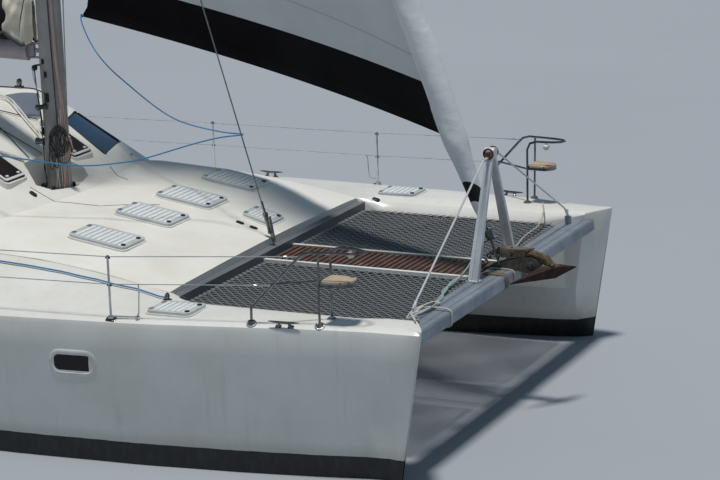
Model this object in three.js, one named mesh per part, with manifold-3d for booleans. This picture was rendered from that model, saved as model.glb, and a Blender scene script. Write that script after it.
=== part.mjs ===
// A sailing catamaran of about 13 m, afloat, with its genoa partly rolled and its mainsail
// bagged on the boom. Millimetres. +X is forward, +Y is port, +Z is up.
// The origin is amidships on the centreline, at the waterline.
import * as THREE from 'three';
import { mergeVertices } from 'three/addons/utils/BufferGeometryUtils.js';
import Module from 'manifold-3d';

const wasm = await Module();
wasm.setup();

// Driving dimensions
const GAP = 0.3;                 // between pieces that touch
const BOW = 6650;
const SIDES = [['port', 1], ['starboard', -1]];
const INNER = 2300;              // inboard edge of each hull's deck
const WET_DECK = 680;            // underside of the bridgedeck
const SOLE = 950;                // floor of the saloon and the cockpit
const SALOON_FRONT = 760;        // aft face of the foredeck block
const SALOON_BACK = -3300;
const BRIDGE_BACK = -5600;
const WALL = 60;
const HULL_MIDDLE = 2750;        // from the centreline to the middle of each hull

// The mast, the boom and the rig
const MAST = { x: 815, foot: 2000, top: 19300, chord: 320, width: 190, hounds: 16900 };
const BOOM = { x: 560, z: 3660, length: 5100, height: 250, width: 150, pin: 14 };
const STAY_FOOT = [6350, 0, 1560];
const TACK_Z = 2060;
const INNER_STAY_FOOT = [3616, 0, 1550];
const INNER_STAY_HEAD = 10800;
const CHAINPLATE = { x: -1190, y: 3380 };

// The net frame between the bows
const BEAM = { back: 6200, front: 6510, top: 1500, bottom: 1350 };
const APEX = { x: 6270, z: 2790 };
const STRUT = { x: 6270, y: 550 };
const NET = { top: 1470, thick: 16, side: 2230, inner: 448, edge: 55 };
const AFT_BEAM = { back: 3562, front: 3670, top: 1560, bottom: 1370 };

// Vectors, solids and meshes
const vec = (p) => new THREE.Vector3(...p);
const clamp = (t, lo = 0, hi = 1) => Math.min(Math.max(t, lo), hi);
const mix = (a, b, t) => a + (b - a) * t;
const smooth = (t) => clamp(t) ** 2 * (3 - 2 * clamp(t));

// The value of one column of a table at x, between its rows. The first column is x and falls.
// The steps between rows are eased a little, so that a long line has no sharp knuckles.
const EASING = 0.35;
function column(table, x, k) {
  let i = 0;
  while (i < table.length - 2 && x < table[i + 1][0]) i += 1;
  const [a, b] = [table[i], table[i + 1]];
  const t = clamp((a[0] - x) / (a[0] - b[0]));
  return mix(a[k], b[k], mix(t, smooth(t), EASING));
}

function toSolid(geometry) {
  const bare = new THREE.BufferGeometry();
  bare.setAttribute('position', geometry.getAttribute('position').clone());
  if (geometry.index) bare.setIndex(geometry.index.clone());
  const merged = mergeVertices(bare, 0.01);
  const pos = merged.getAttribute('position').array;
  const tri = [];
  let volume = 0;
  const at = (i) => new THREE.Vector3(pos[3 * i], pos[3 * i + 1], pos[3 * i + 2]);
  for (let i = 0; i < merged.index.count; i += 3) {
    const [a, b, c] = [0, 1, 2].map((k) => merged.index.getX(i + k));
    if (a === b || b === c || c === a) continue;
    tri.push(a, b, c);
    volume += at(a).dot(at(b).cross(at(c)));
  }
  if (volume < 0) tri.reverse();
  return new wasm.Manifold(new wasm.Mesh({
    numProp: 3,
    vertProperties: new Float32Array(pos),
    triVerts: new Uint32Array(tri),
  }));
}

function toGeometry(solid) {
  const mesh = solid.getMesh();
  const geometry = new THREE.BufferGeometry();
  geometry.setAttribute('position', new THREE.BufferAttribute(new Float32Array(mesh.vertProperties), 3));
  geometry.setIndex(new THREE.BufferAttribute(new Uint32Array(mesh.triVerts), 1));
  geometry.computeVertexNormals();
  return geometry;
}

const join = (...solids) => solids.flat().reduce((a, b) => a.add(b));
const cut = (solid, ...tools) => tools.flat().reduce((a, b) => a.subtract(b), solid);
const mirrorY = (solid, side) => (side > 0 ? solid : solid.scale([1, -1, 1]));
const largest = (solid) => solid.decompose().sort((a, b) => b.volume() - a.volume())[0];
// A piece trimmed so that it only just clears another, which is first moved by the gap
const clear = (solid, other, shift) => largest(solid.subtract(other.translate(shift)));

function box(x0, x1, y0, y1, z0, z1) {
  const g = new THREE.BoxGeometry(x1 - x0, y1 - y0, z1 - z0);
  return toSolid(g.translate((x0 + x1) / 2, (y0 + y1) / 2, (z0 + z1) / 2));
}

// A closed body through rings of equal count. Each ring is a list of points round the body.
function loft(rings) {
  const n = rings[0].length;
  const g = new THREE.BufferGeometry();
  const index = [];
  for (let i = 0; i < rings.length - 1; i += 1) {
    for (let j = 0; j < n; j += 1) {
      const k = (j + 1) % n;
      const [a, b, c, d] = [i * n + j, i * n + k, (i + 1) * n + k, (i + 1) * n + j];
      index.push(a, b, c, a, c, d);
    }
  }
  for (const r of [0, rings.length - 1]) {
    const normal = new THREE.Vector3();
    rings[r].forEach((p, j) => normal.add(vec(p).cross(vec(rings[r][(j + 1) % n]))));
    const size = normal.toArray().map(Math.abs);
    const drop = size.indexOf(Math.max(...size));
    const [u, v] = [[1, 2], [2, 0], [0, 1]][drop];
    const flat = rings[r].map((p) => new THREE.Vector2(p[u], p[v]));
    for (const face of THREE.ShapeUtils.triangulateShape(flat, [])) {
      const order = face.sort((a, b) => a - b);
      if (r === 0) order.reverse();
      index.push(...order.map((q) => q + r * n));
    }
  }
  g.setAttribute('position', new THREE.Float32BufferAttribute(rings.flat(2), 3));
  g.setIndex(index);
  return toSolid(g);
}

// A round bar or a taper from a to b
function rod(a, b, radius, sides = 8, end = radius) {
  const along = vec(b).sub(vec(a));
  const g = new THREE.CylinderGeometry(end, radius, along.length(), sides);
  const up = new THREE.Vector3(0, 1, 0);
  const turn = new THREE.Quaternion().setFromUnitVectors(up, along.clone().normalize());
  const mid = vec(a).add(vec(b)).multiplyScalar(0.5);
  return toSolid(g.applyQuaternion(turn).translate(mid.x, mid.y, mid.z));
}

// The hole that a shaft of the given radius turns in
const RUNNING = 0.35;
const bore = (a, b, radius, sides = 16) => (
  rod(a, b, (radius + RUNNING) / Math.cos(Math.PI / sides), sides)
);

// A bent tube: rings square to the path, carried along it without twist
function tube(points, radius, sides = 8) {
  const path = points.map(vec);
  const steps = path.slice(1).map((p, i) => p.clone().sub(path[i]).normalize());
  let across = new THREE.Vector3(0, 0, 1);
  if (Math.abs(across.dot(steps[0])) > 0.9) across = new THREE.Vector3(1, 0, 0);
  const rings = path.map((p, i) => {
    const before = steps[Math.max(i - 1, 0)];
    const after = steps[Math.min(i, steps.length - 1)];
    const along = before.clone().add(after).normalize();
    across = across.clone().addScaledVector(along, -across.dot(along)).normalize();
    const third = along.clone().cross(across);
    return Array.from({ length: sides }, (_, k) => {
      const angle = (2 * Math.PI * k) / sides;
      return p.clone()
        .addScaledVector(across, radius * Math.cos(angle))
        .addScaledVector(third, radius * Math.sin(angle)).toArray();
    });
  });
  return loft(rings);
}

// A plate of the outline in the plane of two axes, from low to high along the third
function plate(outline, axes, low, high) {
  const order = { xy: [0, 1, 2], xz: [0, 2, 1], yz: [1, 2, 0] }[axes];
  const ring = (level) => outline.map(([u, v]) => {
    const p = [0, 0, 0];
    p[order[0]] = u;
    p[order[1]] = v;
    p[order[2]] = level;
    return p;
  });
  return loft([ring(low), ring(high)]);
}

// A rectangle in plan with cut or rounded corners
function rounded(x0, x1, y0, y1, radius, steps = 2) {
  const out = [];
  const corners = [[x1 - radius, y1 - radius, 0], [x0 + radius, y1 - radius, 1],
    [x0 + radius, y0 + radius, 2], [x1 - radius, y0 + radius, 3]];
  for (const [cx, cy, quarter] of corners) {
    for (let i = 0; i <= steps; i += 1) {
      const angle = (Math.PI / 2) * (quarter + i / steps);
      out.push([cx + radius * Math.cos(angle), cy + radius * Math.sin(angle)]);
    }
  }
  return out;
}

// A polygon with each corner cut by two short sides
const CORNER_CUT = 0.42;
function softened(points, radius) {
  const n = points.length;
  return points.flatMap((p, i) => {
    const [before, after] = [points[(i + n - 1) % n], points[(i + 1) % n]];
    const toward = (q, r) => {
      const far = Math.hypot(q[0] - p[0], q[1] - p[1]);
      return p.map((v, k) => v + ((q[k] - v) * r) / far);
    };
    const [a, b] = [toward(before, radius), toward(after, radius)];
    return [a, p.map((v, k) => mix(v, (a[k] + b[k]) / 2, CORNER_CUT)), b];
  });
}

// Deck shape. Columns: x, height of the hull's deck edge, height on the centreline
const DECK = [
  [6650, 1590, 1600],
  [5600, 1600, 1620],
  [3570, 1560, 1640],
  [2670, 1548, 1860],
  [1960, 1540, 1970],
  [900, 1530, 2030],
  [-200, 1520, 1820],
  [-1200, 1510, 1640],
  [-4600, 1470, 1560],
  [-6650, 1440, 1500],
];
const FLAT_HALF = 1750;          // the foredeck is nearly flat out to here
const CROWN = 8e-6;              // how fast it falls from the centreline

// Hull lines. Columns: x, outer deck edge, inner deck edge, middle, half breadth afloat, bottom
const HULL = [
  [6650, 2830, 2770, 2795, 12, -120],
  [6600, 2860, 2672, 2765, 22, -150],
  [6450, 2880, 2420, 2722, 45, -200],
  [6150, 2905, 2340, 2705, 95, -280],
  [5600, 3010, 2310, 2720, 190, -370],
  [4700, 3150, 2300, 2735, 330, -440],
  [3560, 3300, 2300, 2745, 470, -490],
  [2200, 3410, 2300, 2750, 570, -520],
  [500, 3475, 2300, 2750, 630, -540],
  [-1500, 3490, 2300, 2750, 640, -520],
  [-3400, 3475, 2300, 2750, 620, -430],
  [-5000, 3430, 2300, 2750, 570, -290],
  [-6100, 3380, 2300, 2750, 520, -150],
  [-6650, 3350, 2310, 2750, 490, -60],
];
const EDGE_INSET = 75;
// The inboard edge of each bow's deck is rounded down. Columns: inset, drop
const SHOULDER = [[268, 0], [108, 42], [20, 130], [0, 185]];
const shoulderAt = (u) => smooth((u - 3600) / 300) * smooth((6550 - u) / 900);

const deckEdge = (x) => column(DECK, x, 1);
const deckMiddle = (x) => column(DECK, x, 2);
function deckHeight(x, y) {
  const edge = column(HULL, x, 1) - EDGE_INSET;
  const t = clamp((edge - Math.abs(y)) / (edge - FLAT_HALF));
  const flat = deckMiddle(x) - CROWN * Math.min(Math.abs(y), FLAT_HALF) ** 2;
  return mix(deckEdge(x), flat, smooth(t));
}

// Each ring leans forward at the bow, so that the stem rakes and the forefoot curves
const STEM = { start: 4300, rake: 250, top: 1600, forefoot: 2.2 };
function stemLean(u, z) {
  const near = clamp((u - STEM.start) / (BOW - STEM.start)) ** 2;
  const above = -STEM.rake * (1 - z / STEM.top);
  const below = z < 0 ? -STEM.forefoot * Math.abs(z) : 0;
  return near * (above + below);
}

// One section of a hull, from the keel line up the outer side, over the deck and down the inner side
function hullRing(u) {
  const [outer, inner, middle, half, bottom] = [1, 2, 3, 4, 5].map((k) => column(HULL, u, k));
  const edge = deckEdge(u);
  const ledge = 150 * smooth((3900 - u) / 1400);
  const round = shoulderAt(u);
  const inset = Math.min(EDGE_INSET, 0.3 * (outer - inner));
  const out = [];
  for (const a of [0, 35, 65, 90]) {
    const r = THREE.MathUtils.degToRad(a);
    out.push([middle + half * Math.sin(r), bottom * Math.cos(r) ** 0.8]);
  }
  out[3][1] = 0;
  out.push([mix(middle + half, outer, 0.62), 0.42 * edge]);
  out.push([outer - 6, edge - 330]);
  out.push([outer, edge - 90]);
  out.push([outer - 0.24 * inset, edge - 32]);
  out.push([outer - inset, edge]);
  for (const s of [0.3, 0.62]) {
    const y = mix(outer - inset, inner + 12 + SHOULDER[0][0] * round, s);
    out.push([y, deckHeight(u, y)]);
  }
  SHOULDER.forEach(([off, drop], i) => {
    const y = inner + 12 - 4 * i + off * round;
    out.push([y, deckHeight(u, y) - 4 * i - drop * round]);
  });
  out.push([inner, WET_DECK - 4], [inner - ledge, WET_DECK - 12]);
  out.push([mix(inner - ledge, middle - half, 0.6), 0.18 * edge]);
  out.push([middle - half, 0]);
  for (const a of [65, 35]) {
    const r = THREE.MathUtils.degToRad(a);
    out.push([middle - half * Math.sin(r), bottom * Math.cos(r) ** 0.8]);
  }
  return out.map(([y, z]) => [u + stemLean(u, z), y, z]);
}

// Deck hatches. Columns: name, hinge end x, other end x, low y, high y
const HATCHES = [
  ['foredeck_outer_starboard', 1990, 2690, -1760, -1240],
  ['foredeck_inner_starboard', 1960, 2670, -720, -200],
  ['foredeck_inner_port', 1960, 2670, 200, 720],
  ['foredeck_outer_port', 1990, 2690, 1240, 1760],
  ['locker', 3010, 3380, 350, 760],
  ['bow_port', 3680, 4180, 2605, 3030],
  ['bow_starboard', 3680, 4180, -3030, -2605],
];
const LID = { thick: 25, rise: 11, rim: 18, inset: 30, below: 120, well: 420 };

// The plane that a hatch lies in: its height at the hinge, and its slope along x
function hatchPlane([, x0, x1, y0, y1]) {
  const y = (y0 + y1) / 2;
  const [z0, z1] = [deckHeight(x0, y), deckHeight(x1, y)];
  return { z0, slope: (z1 - z0) / (x1 - x0) };
}

// A plan outline made into a slab between two heights that follow the hatch's plane
function planeSlab(outline, hatch, low, high) {
  const { z0, slope } = hatchPlane(hatch);
  const ring = (lift) => outline.map(([x, y]) => [x, y, z0 + slope * (x - hatch[1]) + lift]);
  return loft([ring(low), ring(high)]);
}

function hatchRim(hatch) {
  const [, x0, x1, y0, y1] = hatch;
  const outline = rounded(x0 - LID.rim, x1 + LID.rim, y0 - LID.rim, y1 + LID.rim, 70);
  return planeSlab(outline, hatch, -LID.below, LID.rise);
}

function hatchWell(hatch) {
  const [, x0, x1, y0, y1] = hatch;
  const outline = rounded(x0 + LID.inset, x1 - LID.inset, y0 + LID.inset, y1 - LID.inset, 30, 1);
  return planeSlab(outline, hatch, -LID.well, 100);
}

function hatchLid(hatch) {
  const [, x0, x1, y0, y1] = hatch;
  const outline = rounded(x0, x1, y0, y1, 60);
  return planeSlab(outline, hatch, LID.rise + GAP, LID.rise + LID.thick);
}

function isBow(hatch) {
  return hatch[0].startsWith('bow_');
}

// A low keel under each hull, which is shorter at its tip. Columns: x, half thickness
const KEEL = [[1500, 0], [1250, 95], [700, 150], [-300, 140], [-1100, 70], [-1500, 6]];

function keel() {
  const outline = (scale, shift, z) => [
    ...KEEL.map(([x, t]) => [x * scale + shift, HULL_MIDDLE + t * scale, z]),
    ...KEEL.slice(1).reverse().map(([x, t]) => [x * scale + shift, HULL_MIDDLE - t * scale, z]),
  ];
  return loft([outline(0.8, -150, -1180), outline(0.97, -30, -800), outline(1, 0, -380)]);
}

// The stern steps. Columns: forward edge, height
const STERN_STEPS = [[-4950, 1190], [-5400, 930], [-5850, 660], [-6300, 390]];
const RUDDER = { x: -5650, y: HULL_MIDDLE, stock: 35, low: -600, high: 105 };
const HULL_STATIONS = [
  6650, 6600, 6450, 6150, 5850, 5600, 5100, 4700, 4100, 3880, 3740, 3600, 3560, 3000, 2600, 2200,
  1700, 1200, 500, -200, -1200, -2400, -3400, -4300, -5000, -5600, -6100, -6650,
];

function hull(side) {
  const { x: stockX, y: stockY, stock, low, high } = RUDDER;
  let body = join(loft(HULL_STATIONS.map(hullRing)), keel());
  body = cut(body, STERN_STEPS.map(([x, z]) => box(-7000, x, 2420, 3260, z, 3000)));
  body = cut(body, bore([stockX, stockY, low], [stockX, stockY, high], stock, 24));
  const hatch = HATCHES.find((h) => h[0] === 'bow_port');
  body = cut(join(body, hatchRim(hatch)), hatchWell(hatch));
  return mirrorY(body, side);
}

// The bridgedeck: floor and foredeck in one
const ACROSS = [-1, -0.92, -0.84, -0.76, -0.5, -0.25, 0, 0.25, 0.5, 0.76, 0.84, 0.92, 1];
function deckRing(x, half, bottom, lift = 0) {
  const top = ACROSS.map((s) => [x, s * half, deckHeight(x, s * half) + lift]);
  return [...top, [x, half, bottom], [x, -half, bottom]];
}

const FORE_STATIONS = [760, 1000, 1300, 1600, 1960, 2320, 2670, 3000, 3300, 3560];

function bridgedeck() {
  const half = INNER - GAP;
  let body = join(
    loft(FORE_STATIONS.map((x) => deckRing(x, half, WET_DECK))),
    box(BRIDGE_BACK, SALOON_FRONT + 1, -half, half, WET_DECK, SOLE),
  );
  const hatches = HATCHES.filter((h) => !isBow(h));
  body = join(body, hatches.map(hatchRim));
  return cut(body, hatches.map(hatchWell), recess());
}

// Coachroof: a faired slope forward, an arched roof and leaning sides
const ROOF = 2880;
const SLOPE = 0.6;
const SLOPE_AT = 2120;
const ROOF_CROWN = 1.5e-5;
const roofHeight = (y) => ROOF - ROOF_CROWN * y * y;
const SLOPE_FOOT = 960;
const slopeHeight = (x, y) => SLOPE_AT + SLOPE * (SLOPE_FOOT - 1.09e-4 * y * y - x);

// The lower of roof and slope, with a soft turn between them
const TURN = 60;
function coachHeight(x, y) {
  const [a, b] = [roofHeight(y), slopeHeight(x, y)];
  const h = clamp(0.5 + (0.5 * (b - a)) / TURN);
  return mix(b, a, h) - TURN * h * (1 - h);
}

const SIDE_LEAN = 0.28;
const coachSide = (z) => Math.min(INNER - GAP, INNER - GAP - SIDE_LEAN * (z - 1700));

// Sections close together where the slope meets the roof
const CREST = [-900, -720, -640, -560, -480, -400, -320, -240, -120];

function coachRing(x, inset, bottom) {
  let shoulder = 2000;
  for (let i = 0; i < 8; i += 1) shoulder = coachSide(Math.max(coachHeight(x, shoulder), 1560));
  const half = [];
  for (const s of [1, 0.975, 0.93, 0.82, 0.62, 0.4, 0.2, 0]) {
    const y = shoulder * s;
    const drop = 22 * smooth((s - 0.9) / 0.1);
    const z = Math.max(coachHeight(x, y) - drop - inset, 1530 - inset);
    half.push([y - (s > 0.9 ? inset : inset * s), z]);
  }
  const base = [[INNER - GAP - inset, bottom], [INNER - GAP - inset, 1520]];
  const right = [...base, ...half];
  const left = right.slice(0, -1).reverse().map(([y, z]) => [-y, z]);
  return [...right, ...left].map(([y, z]) => [x, y, z]);
}

// A corner window in the slope, in plan, on the port side, with space for its pane.
// Columns: x, y
const FRONT_LIGHT = [[-180, 2020], [70, 1350], [700, 1230], [420, 2080]];
// Hatches in the slope. Columns: name, hinge end x, other end x, low y, high y
const ROOF_HATCHES = [
  ['coachroof_port', 200, 700, 520, 940],
  ['coachroof_starboard', 200, 700, -940, -520],
];
// The recess round the mast's foot, in plan. Columns: x, half width
const RECESS = [[520, 300], [600, 350], [820, 520], [960, 400], [1035, 60]];
// The window in each side: aft x, forward x, low z, high z
const SIDE_LIGHT = [-2700, -350, 2050, 2480];
const DOORWAY = { half: 560, top: 2720 };
// The round lead on the roof that the slack sheet ends at
const SHEET_LEAD = { x: -800, y: -1750, radius: 32, rise: 75 };

const ABOVE_ALL = 3200;
const SIDE_CUT = [1700, 3000];   // from and to, outward from the centreline
const recess = () => {
  const outline = [...RECESS, ...RECESS.map(([x, y]) => [x, -y]).reverse()];
  return plate(outline, 'xy', MAST.foot, ABOVE_ALL);
};
const frontLight = (side, scale = 1) => {
  const middle = [0, 1].map((k) => FRONT_LIGHT.reduce((sum, p) => sum + p[k] / FRONT_LIGHT.length, 0));
  const corners = FRONT_LIGHT.map((p) => p.map((v, k) => mix(middle[k], v, scale)));
  return softened(corners, 60).map(([x, y]) => [x, side * y]);
};

// The block between two distances from the centreline, on one side of it
function sideBox(x0, x1, near, far, z0, z1, side) {
  return mirrorY(box(x0, x1, near, far, z0, z1), side);
}

function coachShell() {
  const stations = [SALOON_BACK, -2400, -1500, ...CREST, 50, 250, 450, 650, 850, 1050, 1250, 1400];
  const outer = loft(stations.map((x) => coachRing(x, 0, SOLE + GAP)));
  const innerStations = [SALOON_BACK + WALL, -2400, -1500, ...CREST, 50, 250, 380];
  const inner = loft(innerStations.map((x) => coachRing(x, WALL, SOLE - 100)));
  const foreRings = FORE_STATIONS.map((x, i) => deckRing(i ? x : x - GAP, INNER - GAP, 100, GAP));
  return cut(outer, loft(foreRings).scale([1, 1.0002, 1]), inner);
}

function coachroof() {
  let body = coachShell();
  for (const side of [1, -1]) body = cut(body, sideBox(300, 700, 420, 1900, SOLE - 100, 2060, side));
  body = cut(body, recess(), SIDES.map(([, side]) => plate(frontLight(side), 'xy', 1950, ABOVE_ALL)));
  for (const hatch of ROOF_HATCHES) {
    body = cut(join(body, roofHatchRim(hatch)), roofHatchWell(hatch));
  }
  const [sx0, sx1, sz0, sz1] = SIDE_LIGHT;
  const [near, far] = SIDE_CUT;
  const light = rounded(sx0, sx1, sz0, sz1, 110);
  body = cut(body, plate(light, 'xz', -far, -near), plate(light, 'xz', near, far));
  const { half, top } = DOORWAY;
  body = cut(body, box(SALOON_BACK - 50, SALOON_BACK + WALL + 20, -half, half, SOLE - 100, top));
  const { x, y, radius, rise } = SHEET_LEAD;
  const lead = rod([x, y, coachHeight(x, y) - 20], [x, y, coachHeight(x, y) + rise], radius, 12);
  return join(largest(body), lead);
}

// The slope's own plane, for its hatches
const ROOF_LID = { middle: 730, rise: 44, rim: 20, inset: 30, below: 140, well: 500 };
function slopeSlab([, x0, x1, y0, y1], grow, radius, low, high) {
  const outline = rounded(x0 - grow, x1 + grow, y0 - grow, y1 + grow, radius);
  const ring = (lift) => outline.map(([x, y]) => [x, y, slopeHeight(x, ROOF_LID.middle) + lift]);
  return loft([ring(low), ring(high)]);
}
const roofHatchRim = (hatch) => slopeSlab(hatch, ROOF_LID.rim, 60, -ROOF_LID.below, ROOF_LID.rise);
const roofHatchWell = (hatch) => slopeSlab(hatch, -ROOF_LID.inset, 30, -ROOF_LID.well, 200);
const roofHatchLid = (hatch) => (
  slopeSlab(hatch, 0, 50, ROOF_LID.rise + GAP, ROOF_LID.rise + LID.thick)
);

// Panes: the part of a slab just inside the coachroof's skin that lies in each window
const PANE = { outer: 8, inner: 26 };   // how far its faces lie inside the skin
function pane(outline, axes, low, high) {
  const stations = [SALOON_BACK + 200, -2400, -1500, ...CREST, 50, 250, 450, 600, 760];
  const outer = loft(stations.map((x) => coachRing(x, PANE.outer, 1000)));
  const inner = loft(stations.map((x) => coachRing(x, PANE.inner, 900)));
  return largest(plate(outline, axes, low, high).intersect(outer).subtract(inner));
}

const frontPane = (side) => pane(frontLight(side, 1 - GAP / 300), 'xy', 1900, ABOVE_ALL);

function sidePane(side) {
  const [x0, x1, z0, z1] = SIDE_LIGHT;
  const [near, far] = SIDE_CUT;
  const [low, high] = side > 0 ? [near, far] : [-far, -near];
  return pane(rounded(x0 + GAP, x1 - GAP, z0 + GAP, z1 - GAP, 110), 'xz', low, high);
}

const DOOR = { x0: SALOON_BACK - 40, x1: SALOON_BACK - 6, overlap: 30 };

function door() {
  const half = DOORWAY.half + DOOR.overlap;
  const runners = [-420, 420].map((y) => (
    box(DOOR.x0 + 5, DOOR.x1 - 5, y - 30, y + 30, SOLE + GAP, SOLE + 7)
  ));
  return join(box(DOOR.x0, DOOR.x1, -half, half, SOLE + 6, DOORWAY.top + DOOR.overlap), runners);
}

// Cockpit: benches round three sides, a table and the steering stand
const BENCH = { height: 1370, back: -5560, front: -3950, in: 1500, rest: 1830 };

function benches() {
  const half = INNER - 2 * GAP;
  const seat = box(BENCH.back, BENCH.front, -half, half, SOLE + GAP, BENCH.height);
  const rest = box(BENCH.back, BENCH.back + 130, -BENCH.in, half, BENCH.height - 5, BENCH.rest);
  const well = box(BENCH.back + 560, 0, -BENCH.in, BENCH.in, SOLE - 50, 2000);
  return join(cut(seat, well), rest);
}

function table() {
  return join(
    plate(rounded(-4650, -3850, -150, 950, 90), 'xy', 1650, 1690),
    box(-4350, -4150, 300, 500, SOLE + GAP, 1655),
  );
}

const WHEEL = { x: -3720, y: -1750, z: 1950, radius: 400, rim: 17, shaft: 16 };

function steeringStand() {
  const [front, foot] = [-3345, SOLE + GAP];
  const outline = [[front, foot], [-3600, foot], [-3640, 1900], [-3560, 2130], [front, 2130]];
  const body = plate(outline, 'xz', WHEEL.y - 250, WHEEL.y + 250);
  const shaft = rod([-3600, WHEEL.y, WHEEL.z], [WHEEL.x - 10, WHEEL.y, WHEEL.z], WHEEL.shaft, 16);
  return join(body, shaft);
}

function steeringWheel() {
  const { x, y, z, radius } = WHEEL;
  const rim = new THREE.TorusGeometry(radius, WHEEL.rim, 8, 20);
  rim.rotateY(Math.PI / 2).translate(x, y, z);
  const spokes = [90, 210, 330].map((degrees) => {
    const a = THREE.MathUtils.degToRad(degrees);
    return rod([x, y, z], [x, y + radius * Math.cos(a), z + radius * Math.sin(a)], 11, 6);
  });
  const hub = rod([x - 35, y, z], [x + 25, y, z], 55, 16);
  const hole = bore([x - 12, y, z], [x + 60, y, z], WHEEL.shaft);
  return cut(join(toSolid(rim), spokes, hub), hole);
}

// The hard top on its posts over the cockpit
const TOP = { half: 1900, z: 3130, thick: 70, crown: 3e-5 };
// Its sections. Columns: x, how much lower it lies
const TOP_SECTIONS = [[-2950, 50], [-3400, 0], [-4400, 0], [-5350, 0], [-5750, 60]];

function hardTop() {
  const rings = TOP_SECTIONS.map(([x, sag]) => {
    const at = (s, z) => [x, s * TOP.half, TOP.z - TOP.crown * (s * TOP.half) ** 2 + z - sag];
    const across = [-1, -0.6, -0.2, 0.2, 0.6, 1];
    return [...across.map((s) => at(s, 0)), ...across.reverse().map((s) => at(s, -TOP.thick))];
  });
  const posts = [[-5480, 1750, BENCH.rest + GAP], [-5480, -1750, BENCH.height + GAP]];
  const back = posts.map(([x, y, z]) => rod([x, y, z], [x, y, TOP.z - 150], 30, 10));
  const front = [1450, -1450].map((y) => {
    const x = -3120;
    return rod([x, y, coachHeight(x, y) + GAP + 4], [x, y, TOP.z - 125], 28, 10);
  });
  return join(loft(rings), back, front);
}

// Under the water
function rudder() {
  const profile = [[190, 0], [120, 34], [-20, 46], [-240, 26], [-420, 3]];
  const outline = (scale, z) => [
    ...profile.map(([x, t]) => [RUDDER.x + x * scale, RUDDER.y + t * scale, z]),
    ...profile.slice(1).reverse().map(([x, t]) => [RUDDER.x + x * scale, RUDDER.y - t * scale, z]),
  ];
  const blade = loft([outline(0.72, -1050), outline(0.9, -700), outline(1, -290)]);
  return join(blade, rod([RUDDER.x, RUDDER.y, -320], [RUDDER.x, RUDDER.y, 100], RUDDER.stock, 24));
}

const DRIVE = { x: -3900, y: HULL_MIDDLE, z: -820, shaft: 15 };

// Half of the leg's section, from its nose aft, as shares of its length and width
const LEG = [[0.5, 0], [0.3, 0.5], [-0.1, 0.5], [-0.5, 0.08]];

function saildrive() {
  const { x, y, z, shaft } = DRIVE;
  const top = column(HULL, x, 5);
  const shape = [...LEG, ...LEG.slice(1).reverse().map(([a, b]) => [a, -b])];
  const section = (long, wide, level) => shape.map(([a, b]) => [x + a * long, y + b * wide, level]);
  const leg = loft([section(230, 70, z), section(250, 85, -600), section(330, 110, top + 60)]);
  const pod = rod([x + 170, y, z], [x - 190, y, z], 45, 14, 58);
  return join(leg, pod, rod([x - 180, y, z], [x - 290, y, z], shaft, 16));
}

// A blade from root to tip. Columns: share of its height, half chord
const BLADE = [[0, 38.4], [0.25, 70.4], [0.5, 83.2], [0.75, 64], [1, 32]];
const BLADE_REACH = { root: 35, tip: 215, steep: 62, flat: 24, thick: 6 };
// Its section. Columns: share of the half chord, share of the thickness
const BLADE_EDGE = [[-1, -0.15], [-0.3, -1], [0.5, -0.8], [1, 0.15], [0.3, 1], [-0.5, 0.8]];

function propeller() {
  const { y, z } = DRIVE;
  const x = DRIVE.x - 200;
  const hub = rod([x, y, z], [x - 120, y, z], 52, 18, 34);
  const blades = [0, 120, 240].map((degrees) => {
    const r = THREE.MathUtils.degToRad(degrees);
    const ring = ([s, half]) => BLADE_EDGE.map(([c, t]) => {
      const pitch = THREE.MathUtils.degToRad(mix(BLADE_REACH.steep, BLADE_REACH.flat, s));
      const along = c * half * Math.sin(pitch) * 0.8 + t * BLADE_REACH.thick * Math.cos(pitch);
      const u = c * half * Math.cos(pitch);
      const w = mix(BLADE_REACH.root, BLADE_REACH.tip, s);
      return [
        x - 60 + along,
        y + u * Math.cos(r) - w * Math.sin(r),
        z + u * Math.sin(r) + w * Math.cos(r),
      ];
    });
    return loft(BLADE.map(ring));
  });
  return cut(join(hub, blades), bore([x + 20, y, z], [x - 95, y, z], DRIVE.shaft));
}

// The forward crossbeam: a grooved box section between the hulls
const LUG = 90;
function crossbeam() {
  const section = [[BEAM.back, BEAM.bottom], [BEAM.back, BEAM.top - 12], [BEAM.back + 20, BEAM.top],
    [BEAM.back + 95, BEAM.top], [BEAM.back + 103, BEAM.top - 9], [BEAM.back + 118, BEAM.top],
    [BEAM.front - 95, BEAM.top], [BEAM.front - 87, BEAM.top - 9], [BEAM.front - 72, BEAM.top],
    [BEAM.front - 14, BEAM.top - 4], [BEAM.front, BEAM.top - 22], [BEAM.front, BEAM.bottom + 20],
    [BEAM.front - 20, BEAM.bottom]];
  const beam = plate(section, 'xz', -2700, 2700);
  const lugs = SIDES.map(([, s]) => (
    sideBox(6280, 6340, 2200, 2260, BEAM.top - 5, BEAM.top + LUG, s)
  ));
  const hulls = SIDES.map(([, s]) => hull(s).translate([0, -s * GAP, 0]));
  return join(largest(cut(beam, hulls)), lugs);
}

// The A-frame that holds the forestay's pull down, with its two stays.
// One half of a strut's grooved section, as shares of its depth and width
const STRUT_HALF = [[-0.5, -0.5], [-0.5, 0.5], [-0.12, 0.5], [-0.12, 0.3], [0.12, 0.3], [0.12, 0.5]];

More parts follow.
